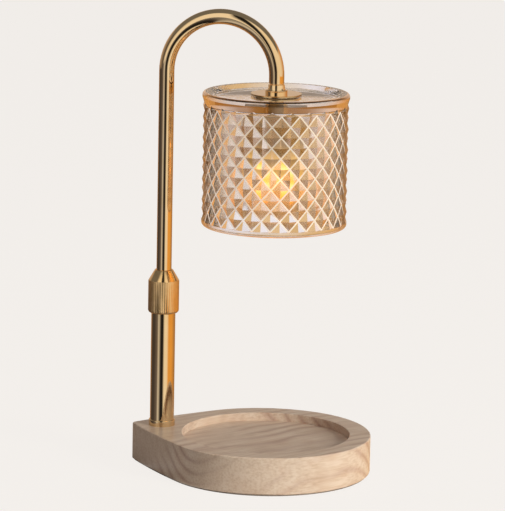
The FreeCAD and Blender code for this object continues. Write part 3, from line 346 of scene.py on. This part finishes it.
def collarMaterial():
    # plated brass: the knurled grip has a satin face and the cone above it is buffed like the tubes
    material, tree, output, place = newMaterial("collarGoldPlate")
    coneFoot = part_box("locking_collar")[1].z - collarLook["cone"]
    height = addNode(tree, "ShaderNodeSeparateXYZ", {"Vector": place}).outputs["Z"]
    rough = addNode(tree, "ShaderNodeMapRange", {
        "Value": height, "From Min": coneFoot, "From Max": coneFoot + collarLook["blend"],
        "To Min": collarLook["satin"], "To Max": collarLook["buffed"]})
    fine = addNode(tree, "ShaderNodeTexNoise", {
        "Vector": place, "Scale": 1 / metalLook["grain"], "Detail": 2.0})
    bump = addNode(tree, "ShaderNodeBump", {
        "Height": fine.outputs["Fac"], "Strength": collarLook["grain"], "Distance": metalLook["grainDepth"]})
    drift = addNode(tree, "ShaderNodeTexNoise", {
        "Vector": place, "Scale": 1 / collarLook["drift"], "Detail": 2.0})
    tone = addNode(tree, "ShaderNodeValToRGB", {"Fac": drift.outputs["Fac"]},
                   stops=[(0.0, collarLook["handled"]), (0.3, collarLook["handled"]),
                          (0.6, collarLook["plate"]), (1.0, collarLook["plate"])])
    shader = addNode(tree, "ShaderNodeBsdfPrincipled", {
        "Base Color": tone.outputs[0], "Metallic": 1.0, "Roughness": rough.outputs[0],
        "Normal": bump.outputs[0]})
    tree.links.new(shader.outputs[0], output.inputs["Surface"])
    return material


# the width of a cloud and the depth of a pit, in metres
stockLook = {"cloud": 0.0167, "pitDepth": 0.0002, "smudge": 0.05}


def plainMaterial(name, colour, pitShade, roughness, grain=0.15, pit=0.00111):
    # moulded or foamed stock: a fine surface with painted shade in the pits of its bump, and a soft cloud in
    # the tone
    material, tree, output, place = newMaterial(name)
    noise = addNode(tree, "ShaderNodeTexNoise", {"Vector": place, "Scale": 1 / pit, "Detail": 3.0})
    cloud = addNode(tree, "ShaderNodeTexNoise", {
        "Vector": place, "Scale": 1 / stockLook["cloud"], "Detail": 2.0})
    # the darker tone is painted shade where the bump's pits are, and it also falls where the soft cloud is
    # low
    depth = addNode(tree, "ShaderNodeMath", {0: noise.outputs["Fac"], 1: cloud.outputs["Fac"]},
                    operation="MULTIPLY")
    tone = addNode(tree, "ShaderNodeValToRGB", {"Fac": depth.outputs[0]},
                   stops=[(0.0, pitShade), (0.15, pitShade), (0.32, colour), (1.0, colour)])
    rough = addNode(tree, "ShaderNodeMapRange", {
        "Value": cloud.outputs["Fac"], "To Min": roughness - stockLook["smudge"],
        "To Max": roughness + stockLook["smudge"]})
    bump = addNode(tree, "ShaderNodeBump", {
        "Height": noise.outputs["Fac"], "Strength": grain, "Distance": stockLook["pitDepth"]})
    shader = addNode(tree, "ShaderNodeBsdfPrincipled", {
        "Base Color": tone.outputs[0], "Roughness": rough.outputs[0], "Normal": bump.outputs[0]})
    tree.links.new(shader.outputs[0], output.inputs["Surface"])
    return material


glassLook = {
    "skin": "#F1E9DA", "body": "#F0CC90", "density": 4.0, "insideRough": 0.2,
    "edgeSkin": "#E6B06C", "paintedEdgeGlow": "#F09634", "paintedEdgeLight": 0.28, "edgeStart": 0.25, "edgeEnd": 0.75,
    "seam": "#FFF8EE", "seamRough": 0.3, "seamMilk": 0.35, "paintedSeamGlow": 0.2,
}


def pressedGlassMaterial():
    # amber soda glass pressed in a mould: a tinted skin with a fire-polished gloss, a body that deepens the
    # colour where light crosses more of it, ground lines where the mould was cut, which carry a painted
    # glow, and a softly rippled inside
    material, tree, output, place = newMaterial("amberPressedGlass")
    seam = addNode(tree, "ShaderNodeAttribute", attribute_name="seam").outputs["Fac"]
    inside = addNode(tree, "ShaderNodeAttribute", attribute_name="inside").outputs["Fac"]
    outside = addNode(tree, "ShaderNodeAttribute", attribute_name="outside").outputs["Fac"]
    surface = addNode(tree, "ShaderNodeNewGeometry").outputs
    # a wall seen on edge is tinted deeper amber, and a painted glow is added there
    facing = addNode(tree, "ShaderNodeLayerWeight", {"Blend": 0.5}).outputs["Facing"]
    slant = addNode(tree, "ShaderNodeMapRange", {
        "Value": facing, "From Min": glassLook["edgeStart"], "From Max": glassLook["edgeEnd"]})
    front = addNode(tree, "ShaderNodeMath", {0: outside, 1: surface["Backfacing"]}, operation="SUBTRACT",
                    use_clamp=True)
    edge = addNode(tree, "ShaderNodeMath", {0: slant.outputs[0], 1: front.outputs[0]}, operation="MULTIPLY")
    tint = addNode(tree, "ShaderNodeMix", {
        "Factor": edge.outputs[0], 6: linear(glassLook["skin"]), 7: linear(glassLook["edgeSkin"])},
        data_type="RGBA")
    amber = addNode(tree, "ShaderNodeMix", {"Factor": outside, 6: linear("#FFFFFF"), 7: tint.outputs[2]},
                    data_type="RGBA")
    skin = addNode(tree, "ShaderNodeMix", {
        "Factor": seam, 6: amber.outputs[2], 7: linear(glassLook["seam"])}, data_type="RGBA")
    ground = addNode(tree, "ShaderNodeMath", {0: seam, 1: glassLook["seamRough"]}, operation="MULTIPLY")
    rough = addNode(tree, "ShaderNodeMath", {0: inside, 1: glassLook["insideRough"], 2: ground.outputs[0]},
                    operation="MULTIPLY_ADD")
    milk = addNode(tree, "ShaderNodeMath", {0: seam, 1: -glassLook["seamMilk"], 2: 1.0},
                   operation="MULTIPLY_ADD")
    # the emission colour is a painted glow, orange at the edges and pale on the ground lines
    lit = addNode(tree, "ShaderNodeMix", {
        "Factor": seam, 6: linear(glassLook["paintedEdgeGlow"]), 7: linear(glassLook["seam"])}, data_type="RGBA")
    paintedEdgeShare = addNode(tree, "ShaderNodeMath", {0: edge.outputs[0], 1: glassLook["paintedEdgeLight"]},
                     operation="MULTIPLY")
    # painted glow: the ground lines glow a little all over, and the edges glow where the wall is seen on
    # edge
    paintedGlow = addNode(tree, "ShaderNodeMath", {0: seam, 1: glassLook["paintedSeamGlow"], 2: paintedEdgeShare.outputs[0]},
                     operation="MULTIPLY_ADD")
    # light leaving through the far wall's facets goes on as through a plain wall, so that the near
    # facets stay clear
    axis = addNode(tree, "ShaderNodeVectorMath", {0: footOf("glass_shade"), 1: place}, operation="SUBTRACT")
    level = addNode(tree, "ShaderNodeVectorMath", {0: axis.outputs[0], 1: (1.0, 1.0, 0.0)},
                    operation="MULTIPLY")
    inwards = addNode(tree, "ShaderNodeVectorTransform", {"Vector": level.outputs[0]}, vector_type="NORMAL",
                      convert_from="OBJECT", convert_to="WORLD")
    faceted = addNode(tree, "ShaderNodeAttribute", attribute_name="facet").outputs["Fac"]
    leaving = addNode(tree, "ShaderNodeMath", {0: surface["Backfacing"], 1: faceted}, operation="MULTIPLY")
    turned = addNode(tree, "ShaderNodeMix", {
        "Factor": leaving.outputs[0], 4: surface["Normal"], 5: inwards.outputs[0]}, data_type="VECTOR")
    shader = addNode(tree, "ShaderNodeBsdfPrincipled", {
        "Base Color": skin.outputs[2], "Roughness": rough.outputs[0], "IOR": 1.5,
        "Normal": turned.outputs[1], "Transmission Weight": milk.outputs[0],
        "Coat Weight": outside, "Coat IOR": 1.45, "Coat Roughness": 0.06,
        "Emission Color": lit.outputs[2], "Emission Strength": paintedGlow.outputs[0]})
    absorb = addNode(tree, "ShaderNodeVolumeAbsorption", {
        "Color": linear(glassLook["body"]), "Density": glassLook["density"]})
    tree.links.new(shader.outputs[0], output.inputs["Surface"])
    tree.links.new(absorb.outputs[0], output.inputs["Volume"])
    return material


# metres, with fibreTurn in degrees: the board's heart, then how wide each feature of the grain is
woodLook = {
    "pith": (-0.022, -0.062, 0.050), "fibreTurn": 51.5, "ring": 0.0075, "wander": 0.018,
    "drift": 0.0625, "patch": 0.0455, "blotch": 0.0222,
    "fibreLength": 0.0286, "fibreWidth": 0.00125, "fibreDepth": 0.0001, "fibreShare": 0.6, "cloudShare": 0.7,
    "plain": "#E6CDBA",
    "ringTones": [(0.0, "#CEAE9E"), (0.14, "#DABDAC"), (0.4, "#E4CBB8"), (1.0, "#ECD6C5")],
    "fibreTones": [(0.0, "#B5957E"), (0.42, "#EFE6DC"), (0.6, "#FFFFFF"), (1.0, "#FFFFFF")],
    "cloudTones": [(0.0, "#D9C6B8"), (0.5, "#FFFFFF"), (1.0, "#EFDCD0")],
}


def lacquerMaterial():
    # lacquered rubberwood: a pale board sawn across its heart at one end, so its growth rings run as
    # arcs down the left wall and as long flames round the disc, under a clear satin lacquer
    material, tree, output, place = newMaterial("lacqueredRubberwood")
    centred = addNode(tree, "ShaderNodeVectorMath", {0: place, 1: woodLook["pith"]}, operation="SUBTRACT")
    turned = addNode(tree, "ShaderNodeVectorRotate", {
        "Vector": centred.outputs[0], "Angle": math.radians(-woodLook["fibreTurn"])}, rotation_type="Z_AXIS")
    drift = addNode(tree, "ShaderNodeTexNoise", {
        "Vector": turned.outputs[0], "Scale": 1 / woodLook["drift"], "Detail": 2.0})
    pushed = addNode(tree, "ShaderNodeVectorMath", {0: drift.outputs["Color"], 1: (0.5, 0.5, 0.5)},
                     operation="SUBTRACT")
    bent = addNode(tree, "ShaderNodeVectorMath", {
        0: pushed.outputs[0], 1: (woodLook["wander"],) * 3, 2: turned.outputs[0]}, operation="MULTIPLY_ADD")
    # at scale 1 a wave has a ring every pi / 10
    rings = addNode(tree, "ShaderNodeTexWave", {
        "Vector": bent.outputs[0], "Scale": math.pi / 10 / woodLook["ring"], "Distortion": 1.6,
        "Detail": 2.0, "Detail Scale": 0.7}, wave_type="RINGS", rings_direction="X")
    ringed = addNode(tree, "ShaderNodeValToRGB", {"Fac": rings.outputs["Fac"]}, stops=woodLook["ringTones"])
    patch = addNode(tree, "ShaderNodeTexNoise", {
        "Vector": turned.outputs[0], "Scale": 1 / woodLook["patch"], "Detail": 1.0})
    clear = addNode(tree, "ShaderNodeMapRange", {
        "Value": patch.outputs["Fac"], "From Min": 0.35, "From Max": 0.65, "To Min": 0.1, "To Max": 1.0})
    tone = addNode(tree, "ShaderNodeMix", {
        "Factor": clear.outputs[0], 6: linear(woodLook["plain"]), 7: ringed.outputs[0]}, data_type="RGBA")
    stretched = addNode(tree, "ShaderNodeMapping", {
        "Vector": turned.outputs[0],
        "Scale": (1 / woodLook["fibreLength"], 1 / woodLook["fibreWidth"], 1 / woodLook["fibreWidth"])})
    fibre = addNode(tree, "ShaderNodeTexNoise", {
        "Vector": stretched.outputs[0], "Scale": 1.0, "Detail": 4.0})
    streak = addNode(tree, "ShaderNodeValToRGB", {"Fac": fibre.outputs["Fac"]}, stops=woodLook["fibreTones"])
    blotch = addNode(tree, "ShaderNodeTexNoise", {
        "Vector": bent.outputs[0], "Scale": 1 / woodLook["blotch"], "Detail": 2.0})
    cloud = addNode(tree, "ShaderNodeValToRGB", {"Fac": blotch.outputs["Fac"]}, stops=woodLook["cloudTones"])
    grained = addNode(tree, "ShaderNodeMix", {
        "Factor": woodLook["fibreShare"], 6: tone.outputs[2], 7: streak.outputs[0]},
        data_type="RGBA", blend_type="MULTIPLY")
    colour = addNode(tree, "ShaderNodeMix", {
        "Factor": woodLook["cloudShare"], 6: grained.outputs[2], 7: cloud.outputs[0]},
        data_type="RGBA", blend_type="MULTIPLY")
    bump = addNode(tree, "ShaderNodeBump", {
        "Height": fibre.outputs["Fac"], "Strength": 0.12, "Distance": woodLook["fibreDepth"]})
    shader = addNode(tree, "ShaderNodeBsdfPrincipled", {
        "Base Color": colour.outputs[2], "Roughness": 0.5, "Normal": bump.outputs[0], "Coat Weight": 0.4,
        "Coat Roughness": 0.2})
    tree.links.new(shader.outputs[0], output.inputs["Surface"])
    return material


# the ceramic's painted glow is strongest at litFoot, by the bulb, and gone above litTop
ceramicLook = {
    "speck": 0.00111, "speckDepth": 0.0002,
    "litFoot": 0.203, "litTop": 0.216, "lit": 0.7, "light": "#FFCB6B",
    "tones": [(0.0, "#CFC8BA"), (0.36, "#DAD5CA"), (0.5, "#E9E6DF"), (1.0, "#ECEAE4")],
}


def paintedGlowCeramicMaterial():
    # fired steatite with faint iron specks, and a painted glow for the hot capsule's light below it
    material, tree, output, place = newMaterial("ceramicPaintedGlow")
    noise = addNode(tree, "ShaderNodeTexNoise", {
        "Vector": place, "Scale": 1 / ceramicLook["speck"], "Detail": 3.0})
    body = addNode(tree, "ShaderNodeValToRGB", {"Fac": noise.outputs["Fac"]}, stops=ceramicLook["tones"])
    bump = addNode(tree, "ShaderNodeBump", {
        "Height": noise.outputs["Fac"], "Strength": 0.3, "Distance": ceramicLook["speckDepth"]})
    height = addNode(tree, "ShaderNodeSeparateXYZ", {"Vector": place}).outputs["Z"]
    warm = addNode(tree, "ShaderNodeMapRange", {
        "Value": height, "From Min": ceramicLook["litFoot"], "From Max": ceramicLook["litTop"],
        "To Min": ceramicLook["lit"], "To Max": 0.0})
    shader = addNode(tree, "ShaderNodeBsdfPrincipled", {
        "Base Color": body.outputs[0], "Roughness": 0.75, "Normal": bump.outputs[0],
        "Emission Color": linear(ceramicLook["light"]), "Emission Strength": warm.outputs[0]})
    tree.links.new(shader.outputs[0], output.inputs["Surface"])
    return material


bulbLook = {
    "coat": "#FFF9F0", "coatGlow": 0.14, "capsuleGlow": 1.35, "filamentGlow": 20.0,
    "lensLight": "#FFA838", "lensGlow": 0.08, "ripple": 0.002, "rippleSmooth": 0.08, "rippleRough": 0.2,
    "coatTones": [(0.0, "#000000"), (0.2, "#2A1C0C"), (0.5, "#E08C24"), (1.0, "#FFB448")],
    "capsuleTones": [
        (0.0, "#FF9A20"), (0.35, "#FFC058"), (0.6, "#FFE8B8"), (0.8, "#FFC058"), (1.0, "#FF9A20")],
    "filamentTones": [(0.0, "#FFC878"), (0.5, "#FFE6B0"), (1.0, "#FFC878")],
}


def heatColour(tree, place, node, tones):
    # colour by the height between a node's foot and its top
    low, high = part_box(node)
    height = addNode(tree, "ShaderNodeSeparateXYZ", {"Vector": place}).outputs["Z"]
    along = addNode(tree, "ShaderNodeMapRange", {"Value": height, "From Min": low.z, "From Max": high.z})
    return addNode(tree, "ShaderNodeValToRGB", {"Fac": along.outputs[0]}, stops=tones).outputs[0]


def glowMaterial(name, node, tones, strength):
    # hot quartz or tungsten: palest half way up and more orange towards both ends
    material, tree, output, place = newMaterial(name)
    heat = heatColour(tree, place, node, tones)
    shader = addNode(tree, "ShaderNodeBsdfPrincipled", {
        "Base Color": heat, "Roughness": 0.3, "Emission Color": heat, "Emission Strength": strength})
    tree.links.new(shader.outputs[0], output.inputs["Surface"])
    return material


def reflectorMaterial():
    # the bulb's pressed reflector: a thin interference coat that lets the capsule's warm light through, with
    # a painted glow round it near the neck
    material, tree, output, place = newMaterial("glowingReflector")
    heat = heatColour(tree, place, "bulb_reflector", bulbLook["coatTones"])
    shader = addNode(tree, "ShaderNodeBsdfPrincipled", {
        "Base Color": linear(bulbLook["coat"]), "Roughness": 0.12, "IOR": 1.5, "Transmission Weight": 1.0,
        "Emission Color": heat, "Emission Strength": bulbLook["coatGlow"]})
    tree.links.new(shader.outputs[0], output.inputs["Surface"])
    return material


def lensMaterial():
    # the bulb's moulded front: clear glass, hazed in fine ripples, with a painted orange glow for the
    # capsule's light behind it
    material, tree, output, place = newMaterial("rippledLensGlass")
    ripple = addNode(tree, "ShaderNodeTexNoise", {
        "Vector": place, "Scale": 1 / bulbLook["ripple"], "Detail": 1.0})
    rough = addNode(tree, "ShaderNodeMapRange", {
        "Value": ripple.outputs["Fac"], "To Min": bulbLook["rippleSmooth"],
        "To Max": bulbLook["rippleRough"]})
    shader = addNode(tree, "ShaderNodeBsdfPrincipled", {
        "Base Color": linear("#FFFFFF"), "Roughness": rough.outputs[0], "IOR": 1.5,
        "Transmission Weight": 1.0,
        "Emission Color": linear(bulbLook["lensLight"]), "Emission Strength": bulbLook["lensGlow"]})
    tree.links.new(shader.outputs[0], output.inputs["Surface"])
    return material


gold = metalMaterial("polishedGoldPlate", "#EBD0A5", "#E6C999", 0.06, smudge=0.02)
collarGold = collarMaterial()
nickel = metalMaterial("spunNickelPlate", "#CFCBC6", "#C2BDB6", 0.15)
brass = metalMaterial("turnedBrass", "#C9A566", "#B08C50", 0.3)
zinc = metalMaterial("zincPlatedSteel", "#B9BBC0", "#A6A7AB", 0.32)
iron = metalMaterial("castIron", "#4A4A4D", "#3E3B3A", 0.6, grain=0.4)
wood = lacquerMaterial()
rubber = plainMaterial("blackRubber", "#1C1B1B", "#141313", 0.7)
foam = plainMaterial("greyFoam", "#9C8F86", "#857970", 0.9, grain=0.6, pit=0.0007)
nylon = plainMaterial("whiteNylon", "#E4E0D6", "#D8D2C4", 0.45)
silicone = plainMaterial("clearSilicone", "#DAD6CE", "#CEC9BF", 0.35)
sleeve = plainMaterial("leadSleeve", "#E2DFD8", "#D3CEC4", 0.6)
ceramic = paintedGlowCeramicMaterial()
amberGlass = pressedGlassMaterial()
bulbGlow = reflectorMaterial()
lensGlass = lensMaterial()
capsuleGlow = glowMaterial("capsuleGlow", "bulb_capsule", bulbLook["capsuleTones"], bulbLook["capsuleGlow"])
filamentGlow = glowMaterial("filamentGlow", "bulb_filament", bulbLook["filamentTones"],
                            bulbLook["filamentGlow"])

dress(wood, "wood_base")
dress(foam, "base_pad")
dress(iron, "weight_plate")
dress(rubber, "cable_grommet")
dress(gold, "lower_tube", "base_ring", "gooseneck_tube", "neck_ferrule", "stepped_nut", "top_washer")
dress(nickel, "holder_cup")
dress(collarGold, "locking_collar")
dress(brass, "tube_insert", "collet", "holder_contacts")
dress(zinc, "weight_screws", "stem_nipple", "stem_washer", "stem_nut", "guide_clips", "lead_splices",
      "inner_washer", "lock_nut", "shade_nipple", "holder_screws", "bulb_pins")
dress(nylon, "guide_bush")
dress(silicone, "upper_gasket", "lower_gasket")
dress(sleeve, "holder_leads")
dress(ceramic, "lamp_holder", "bulb_base")
dress(bulbGlow, "bulb_reflector")
dress(lensGlass, "bulb_lens")
dress(capsuleGlow, "bulb_capsule")
dress(filamentGlow, "bulb_filament")
print("finishes given")


def arcPoints(centre, radius, start, end, count):
    # profile points on an arc, angles in degrees in the radius-height plane
    return [(centre[0] + radius * math.cos(math.radians(start + (end - start) * i / count)),
             centre[1] + radius * math.sin(math.radians(start + (end - start) * i / count)))
            for i in range(count + 1)]


def lathe(name, profile, centre, turns):
    # spins a closed outline of (radius, height) points round a vertical axis
    deselect()
    mesh = bpy.data.meshes.new(name)
    points = [(centre[0] + radius, centre[1], centre[2] + height) for radius, height in profile]
    mesh.from_pydata(points, [(i, (i + 1) % len(points)) for i in range(len(points))], [])
    piece = bpy.data.objects.new(name, mesh)
    bpy.context.collection.objects.link(piece)
    pickMesh(piece)
    bpy.ops.object.mode_set(mode="EDIT")
    bpy.ops.mesh.select_all(action="SELECT")
    bpy.ops.mesh.spin(steps=turns, angle=2 * math.pi, center=centre, axis=(0, 0, 1))
    bpy.ops.mesh.select_all(action="SELECT")
    bpy.ops.mesh.remove_doubles(threshold=1e-6)
    bpy.ops.mesh.normals_make_consistent(inside=False)
    bpy.ops.object.mode_set(mode="OBJECT")
    return piece


# metres, with startTurn and smooth in degrees: touch is how near a face lies to a wall that it is on
shade = {
    "columns": 24, "rows": 6, "startTurn": 3.0,
    "tipRadius": 0.04755, "rootRadius": 0.04575, "wallInside": 0.0446,
    "footBand": 0.0038, "topBand": 0.0028, "seam": 0.0005, "sink": 0.0004,
    "coreRadius": 0.04515, "bandRadius": 0.048, "footRadius": 0.04755, "bore": 0.0425,
    "plate": 0.005, "dishDepth": 0.0024, "dishRadius": 0.0395, "rimRadius": 0.043, "hole": 0.0054,
    "shoulder": 0.002, "footRound": 0.0024, "flank": 0.0074, "knee": 0.006, "kneeRadius": 0.0463,
    "flankStep": 0.0004, "ceilingRound": 0.003,
    "turns": 144, "roundSteps": 10, "smooth": 9, "touch": 0.0002,
}


def buildFacetSleeve(centre, low, high):
    sides = 2 * shade["columns"]
    levels = 2 * shade["rows"]
    height = high - low
    deselect()
    bpy.ops.mesh.primitive_cylinder_add(vertices=sides, radius=shade["rootRadius"], depth=height,
                                        end_fill_type="NOTHING",
                                        location=(centre[0], centre[1], (low + high) / 2),
                                        rotation=(0, 0, math.radians(shade["startTurn"])))
    piece = bpy.context.object
    piece.name = "facetSleeve"
    settle(piece)
    mesh = piece.data
    # the second, empty slot only marks the faces that the bevel makes
    mesh.materials.append(amberGlass)
    mesh.materials.append(None)
    for edge in mesh.edges:
        one, other = (mesh.vertices[i].co for i in edge.vertices)
        edge.select = abs(one.z - other.z) > height / 2
    for vertex in mesh.vertices:
        vertex.select = False
    for polygon in mesh.polygons:
        polygon.select = False
    bpy.context.tool_settings.mesh_select_mode = (False, True, False)
    bpy.ops.object.mode_set(mode="EDIT")
    bpy.ops.mesh.subdivide(number_cuts=levels - 1)
    bpy.ops.mesh.select_all(action="DESELECT")
    bpy.ops.object.mode_set(mode="OBJECT")

    def address(point):
        # step round the shade and level up it, both whole numbers on the net's corners
        turn = math.degrees(math.atan2(point.y - centre[1], point.x - centre[0])) - shade["startTurn"]
        return round(turn * sides / 360), round((point.z - low) / height * levels)
    for vertex in mesh.vertices:
        step, level = address(vertex.co)
        vertex.select = (step + level) % 2 == 0
    bpy.context.tool_settings.mesh_select_mode = (True, False, False)
    bpy.ops.object.mode_set(mode="EDIT")
    grow = shade["tipRadius"] / shade["rootRadius"]
    bpy.ops.transform.resize(value=(grow, grow, 1), center_override=(centre[0], centre[1], 0))
    bpy.ops.mesh.select_all(action="SELECT")
    bpy.ops.mesh.quads_convert_to_tris(quad_method="SHORTEST_DIAGONAL")
    bpy.ops.mesh.select_all(action="DESELECT")
    bpy.ops.object.mode_set(mode="OBJECT")
    bpy.context.tool_settings.mesh_select_mode = (False, True, False)
    for edge in mesh.edges:
        spots = [address(mesh.vertices[i].co) for i in edge.vertices]
        edge.select = all((step + level) % 2 == 1 for step, level in spots)
    bpy.ops.object.mode_set(mode="EDIT")
    bpy.ops.mesh.bevel(offset=shade["seam"], segments=1, affect="EDGES", material=1)
    # the sleeve is closed with an inner wall, and its ends sink into the plain bands
    bpy.ops.mesh.select_all(action="SELECT")
    bpy.ops.mesh.normals_make_consistent(inside=False)
    bpy.ops.mesh.select_all(action="DESELECT")
    bpy.ops.mesh.select_non_manifold(extend=False, use_wire=False, use_boundary=True, use_multi_face=False,
                                     use_non_contiguous=False, use_verts=False)
    bpy.ops.mesh.extrude_edges_move()
    inwards = shade["wallInside"] / shade["tipRadius"]
    bpy.ops.transform.resize(value=(inwards, inwards, 1 + 2 * shade["sink"] / height),
                             center_override=(centre[0], centre[1], (low + high) / 2))
    bpy.ops.mesh.bridge_edge_loops()
    bpy.ops.mesh.select_all(action="SELECT")
    bpy.ops.mesh.normals_make_consistent(inside=False)
    bpy.ops.object.mode_set(mode="OBJECT")
    return piece


def buildShade():
    centre = footOf("glass_shade")
    foot, top = (corner.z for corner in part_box("glass_shade"))
    tall = top - foot
    facetTop = tall - shade["topBand"]
    dish = tall - shade["dishDepth"]
    ceiling = dish - shade["plate"]
    footRound, shoulder, ceilingRound = shade["footRound"], shade["shoulder"], shade["ceilingRound"]
    steps = shade["roundSteps"]
    profile = [(shade["bore"], 0.0)]
    profile += arcPoints((shade["footRadius"] - footRound, footRound), footRound, -90, 0, steps)
    profile += [(shade["footRadius"], shade["footBand"]), (shade["coreRadius"], shade["footBand"]),
                (shade["coreRadius"], facetTop - shade["flank"]),
                (shade["kneeRadius"], facetTop - shade["knee"]),
                (shade["bandRadius"], facetTop - shade["flankStep"])]
    profile += arcPoints((shade["bandRadius"] - shoulder, tall - shoulder), shoulder, 0, 90, steps)
    profile += [(shade["rimRadius"], tall), (shade["dishRadius"], dish), (shade["hole"], dish),
                (shade["hole"], ceiling)]
    profile += arcPoints((shade["bore"] - ceilingRound, ceiling - ceilingRound), ceilingRound, 90, 0, steps)
    core = lathe("glassShade", profile, centre, shade["turns"])
    core.data.materials.append(amberGlass)
    core.data.materials.append(None)
    sleeve = buildFacetSleeve(centre, foot + shade["footBand"], foot + facetTop)
    pickMesh(core)
    join = core.modifiers.new("facets", "BOOLEAN")
    join.operation = "UNION"
    join.solver = "EXACT"
    join.object = sleeve
    bpy.ops.object.modifier_apply(modifier=join.name)
    bpy.data.objects.remove(sleeve, do_unlink=True)
    # the ground lines and the inside are marked on their faces, so that one glass fills the piece
    faces = core.data.polygons
    reach = [math.hypot(face.center.x - centre[0], face.center.y - centre[1]) for face in faces]
    level = [face.center.z - foot for face in faces]
    outer = [r > shade["coreRadius"] - shade["touch"] for r in reach]
    marks = {
        "seam": [face.material_index for face in faces],
        "inside": [abs(r - shade["bore"]) < shade["touch"] and h < ceiling for r, h in zip(reach, level)],
        "outside": outer,
        "facet": [out and shade["footBand"] < h < facetTop - shade["flankStep"]
                  for out, h in zip(outer, level)],
    }
    for mark, shares in marks.items():
        core.data.attributes.new(mark, "FLOAT", "FACE").data.foreach_set("value", [float(v) for v in shares])
    faces.foreach_set("material_index", [0] * len(faces))
    core.data.materials.pop(index=1)
    pickMesh(core)
    bpy.ops.object.shade_smooth_by_angle(angle=math.radians(shade["smooth"]))
    settle(core)
    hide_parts("glass_shade")
    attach(core, "column")
    print("shade pressed:", len(core.data.polygons), "faces")


buildShade()

# metres, with smooth in degrees: the bores and the taper are those of the solid
collar = {
    "bodyRadius": 0.01025, "cone": collarLook["cone"], "rim": 0.0061, "footRound": 0.002,
    "tubeBore": 0.00806, "threadBore": 0.00706, "tipBore": 0.00596, "neckBore": 0.0053,
    "mouth": 0.0057, "mouthDepth": 0.0007, "skirtTop": 0.0113, "threadTop": 0.0208, "taper": 0.0045,
    "ribs": 50, "ribDepth": 0.00018, "topBevel": 0.0003, "roundSteps": 6, "smooth": 16,
}


def buildCollar():
    # a turned nut: fine ribs round the grip, a buffed cone, and the same bore as the solid it stands for
    centre = footOf("locking_collar")
    foot, top = (corner.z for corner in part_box("locking_collar"))
    tall = top - foot
    body, bevel, footRound = collar["bodyRadius"], collar["topBevel"], collar["footRound"]
    coneFoot = tall - collar["cone"]
    taperTop = collar["threadTop"] + collar["taper"]
    profile = [(collar["tubeBore"], 0.0)]
    profile += arcPoints((body - footRound, footRound), footRound, -90, 0, collar["roundSteps"])
    profile += [(body, coneFoot - bevel), (body - bevel / 2, coneFoot),
                (collar["rim"] + bevel / 2, tall - bevel), (collar["rim"] - bevel / 3, tall),
                (collar["mouth"], tall), (collar["neckBore"], tall - collar["mouthDepth"]),
                (collar["neckBore"], taperTop), (collar["tipBore"], taperTop),
                (collar["threadBore"], collar["threadTop"]), (collar["threadBore"], collar["skirtTop"]),
                (collar["tubeBore"], collar["skirtTop"])]
    piece = lathe("lockingCollarGrip", profile, centre, 2 * collar["ribs"])
    mesh = piece.data
    mesh.materials.append(collarGold)
    for polygon in mesh.polygons:
        polygon.select = False
    for edge in mesh.edges:
        edge.select = False
    for vertex in mesh.vertices:
        # every second step round the grip goes in, and leaves a rib between
        step = math.atan2(vertex.co.y - centre[1], vertex.co.x - centre[0]) * collar["ribs"] / math.pi
        reach = math.hypot(vertex.co.x - centre[0], vertex.co.y - centre[1])
        height = vertex.co.z - foot
        vertex.select = (round(step) % 2 == 0 and reach > body - footRound / 2
                         and height < coneFoot - bevel / 2)
    bpy.context.tool_settings.mesh_select_mode = (True, False, False)
    bpy.ops.object.mode_set(mode="EDIT")
    shrink = 1 - collar["ribDepth"] / body
    bpy.ops.transform.resize(value=(shrink, shrink, 1), center_override=(centre[0], centre[1], 0))
    bpy.ops.object.mode_set(mode="OBJECT")
    bpy.ops.object.shade_smooth_by_angle(angle=math.radians(collar["smooth"]))
    settle(piece)
    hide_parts("locking_collar")
    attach(piece, "collar")
    print("collar turned:", len(mesh.polygons), "faces")


buildCollar()
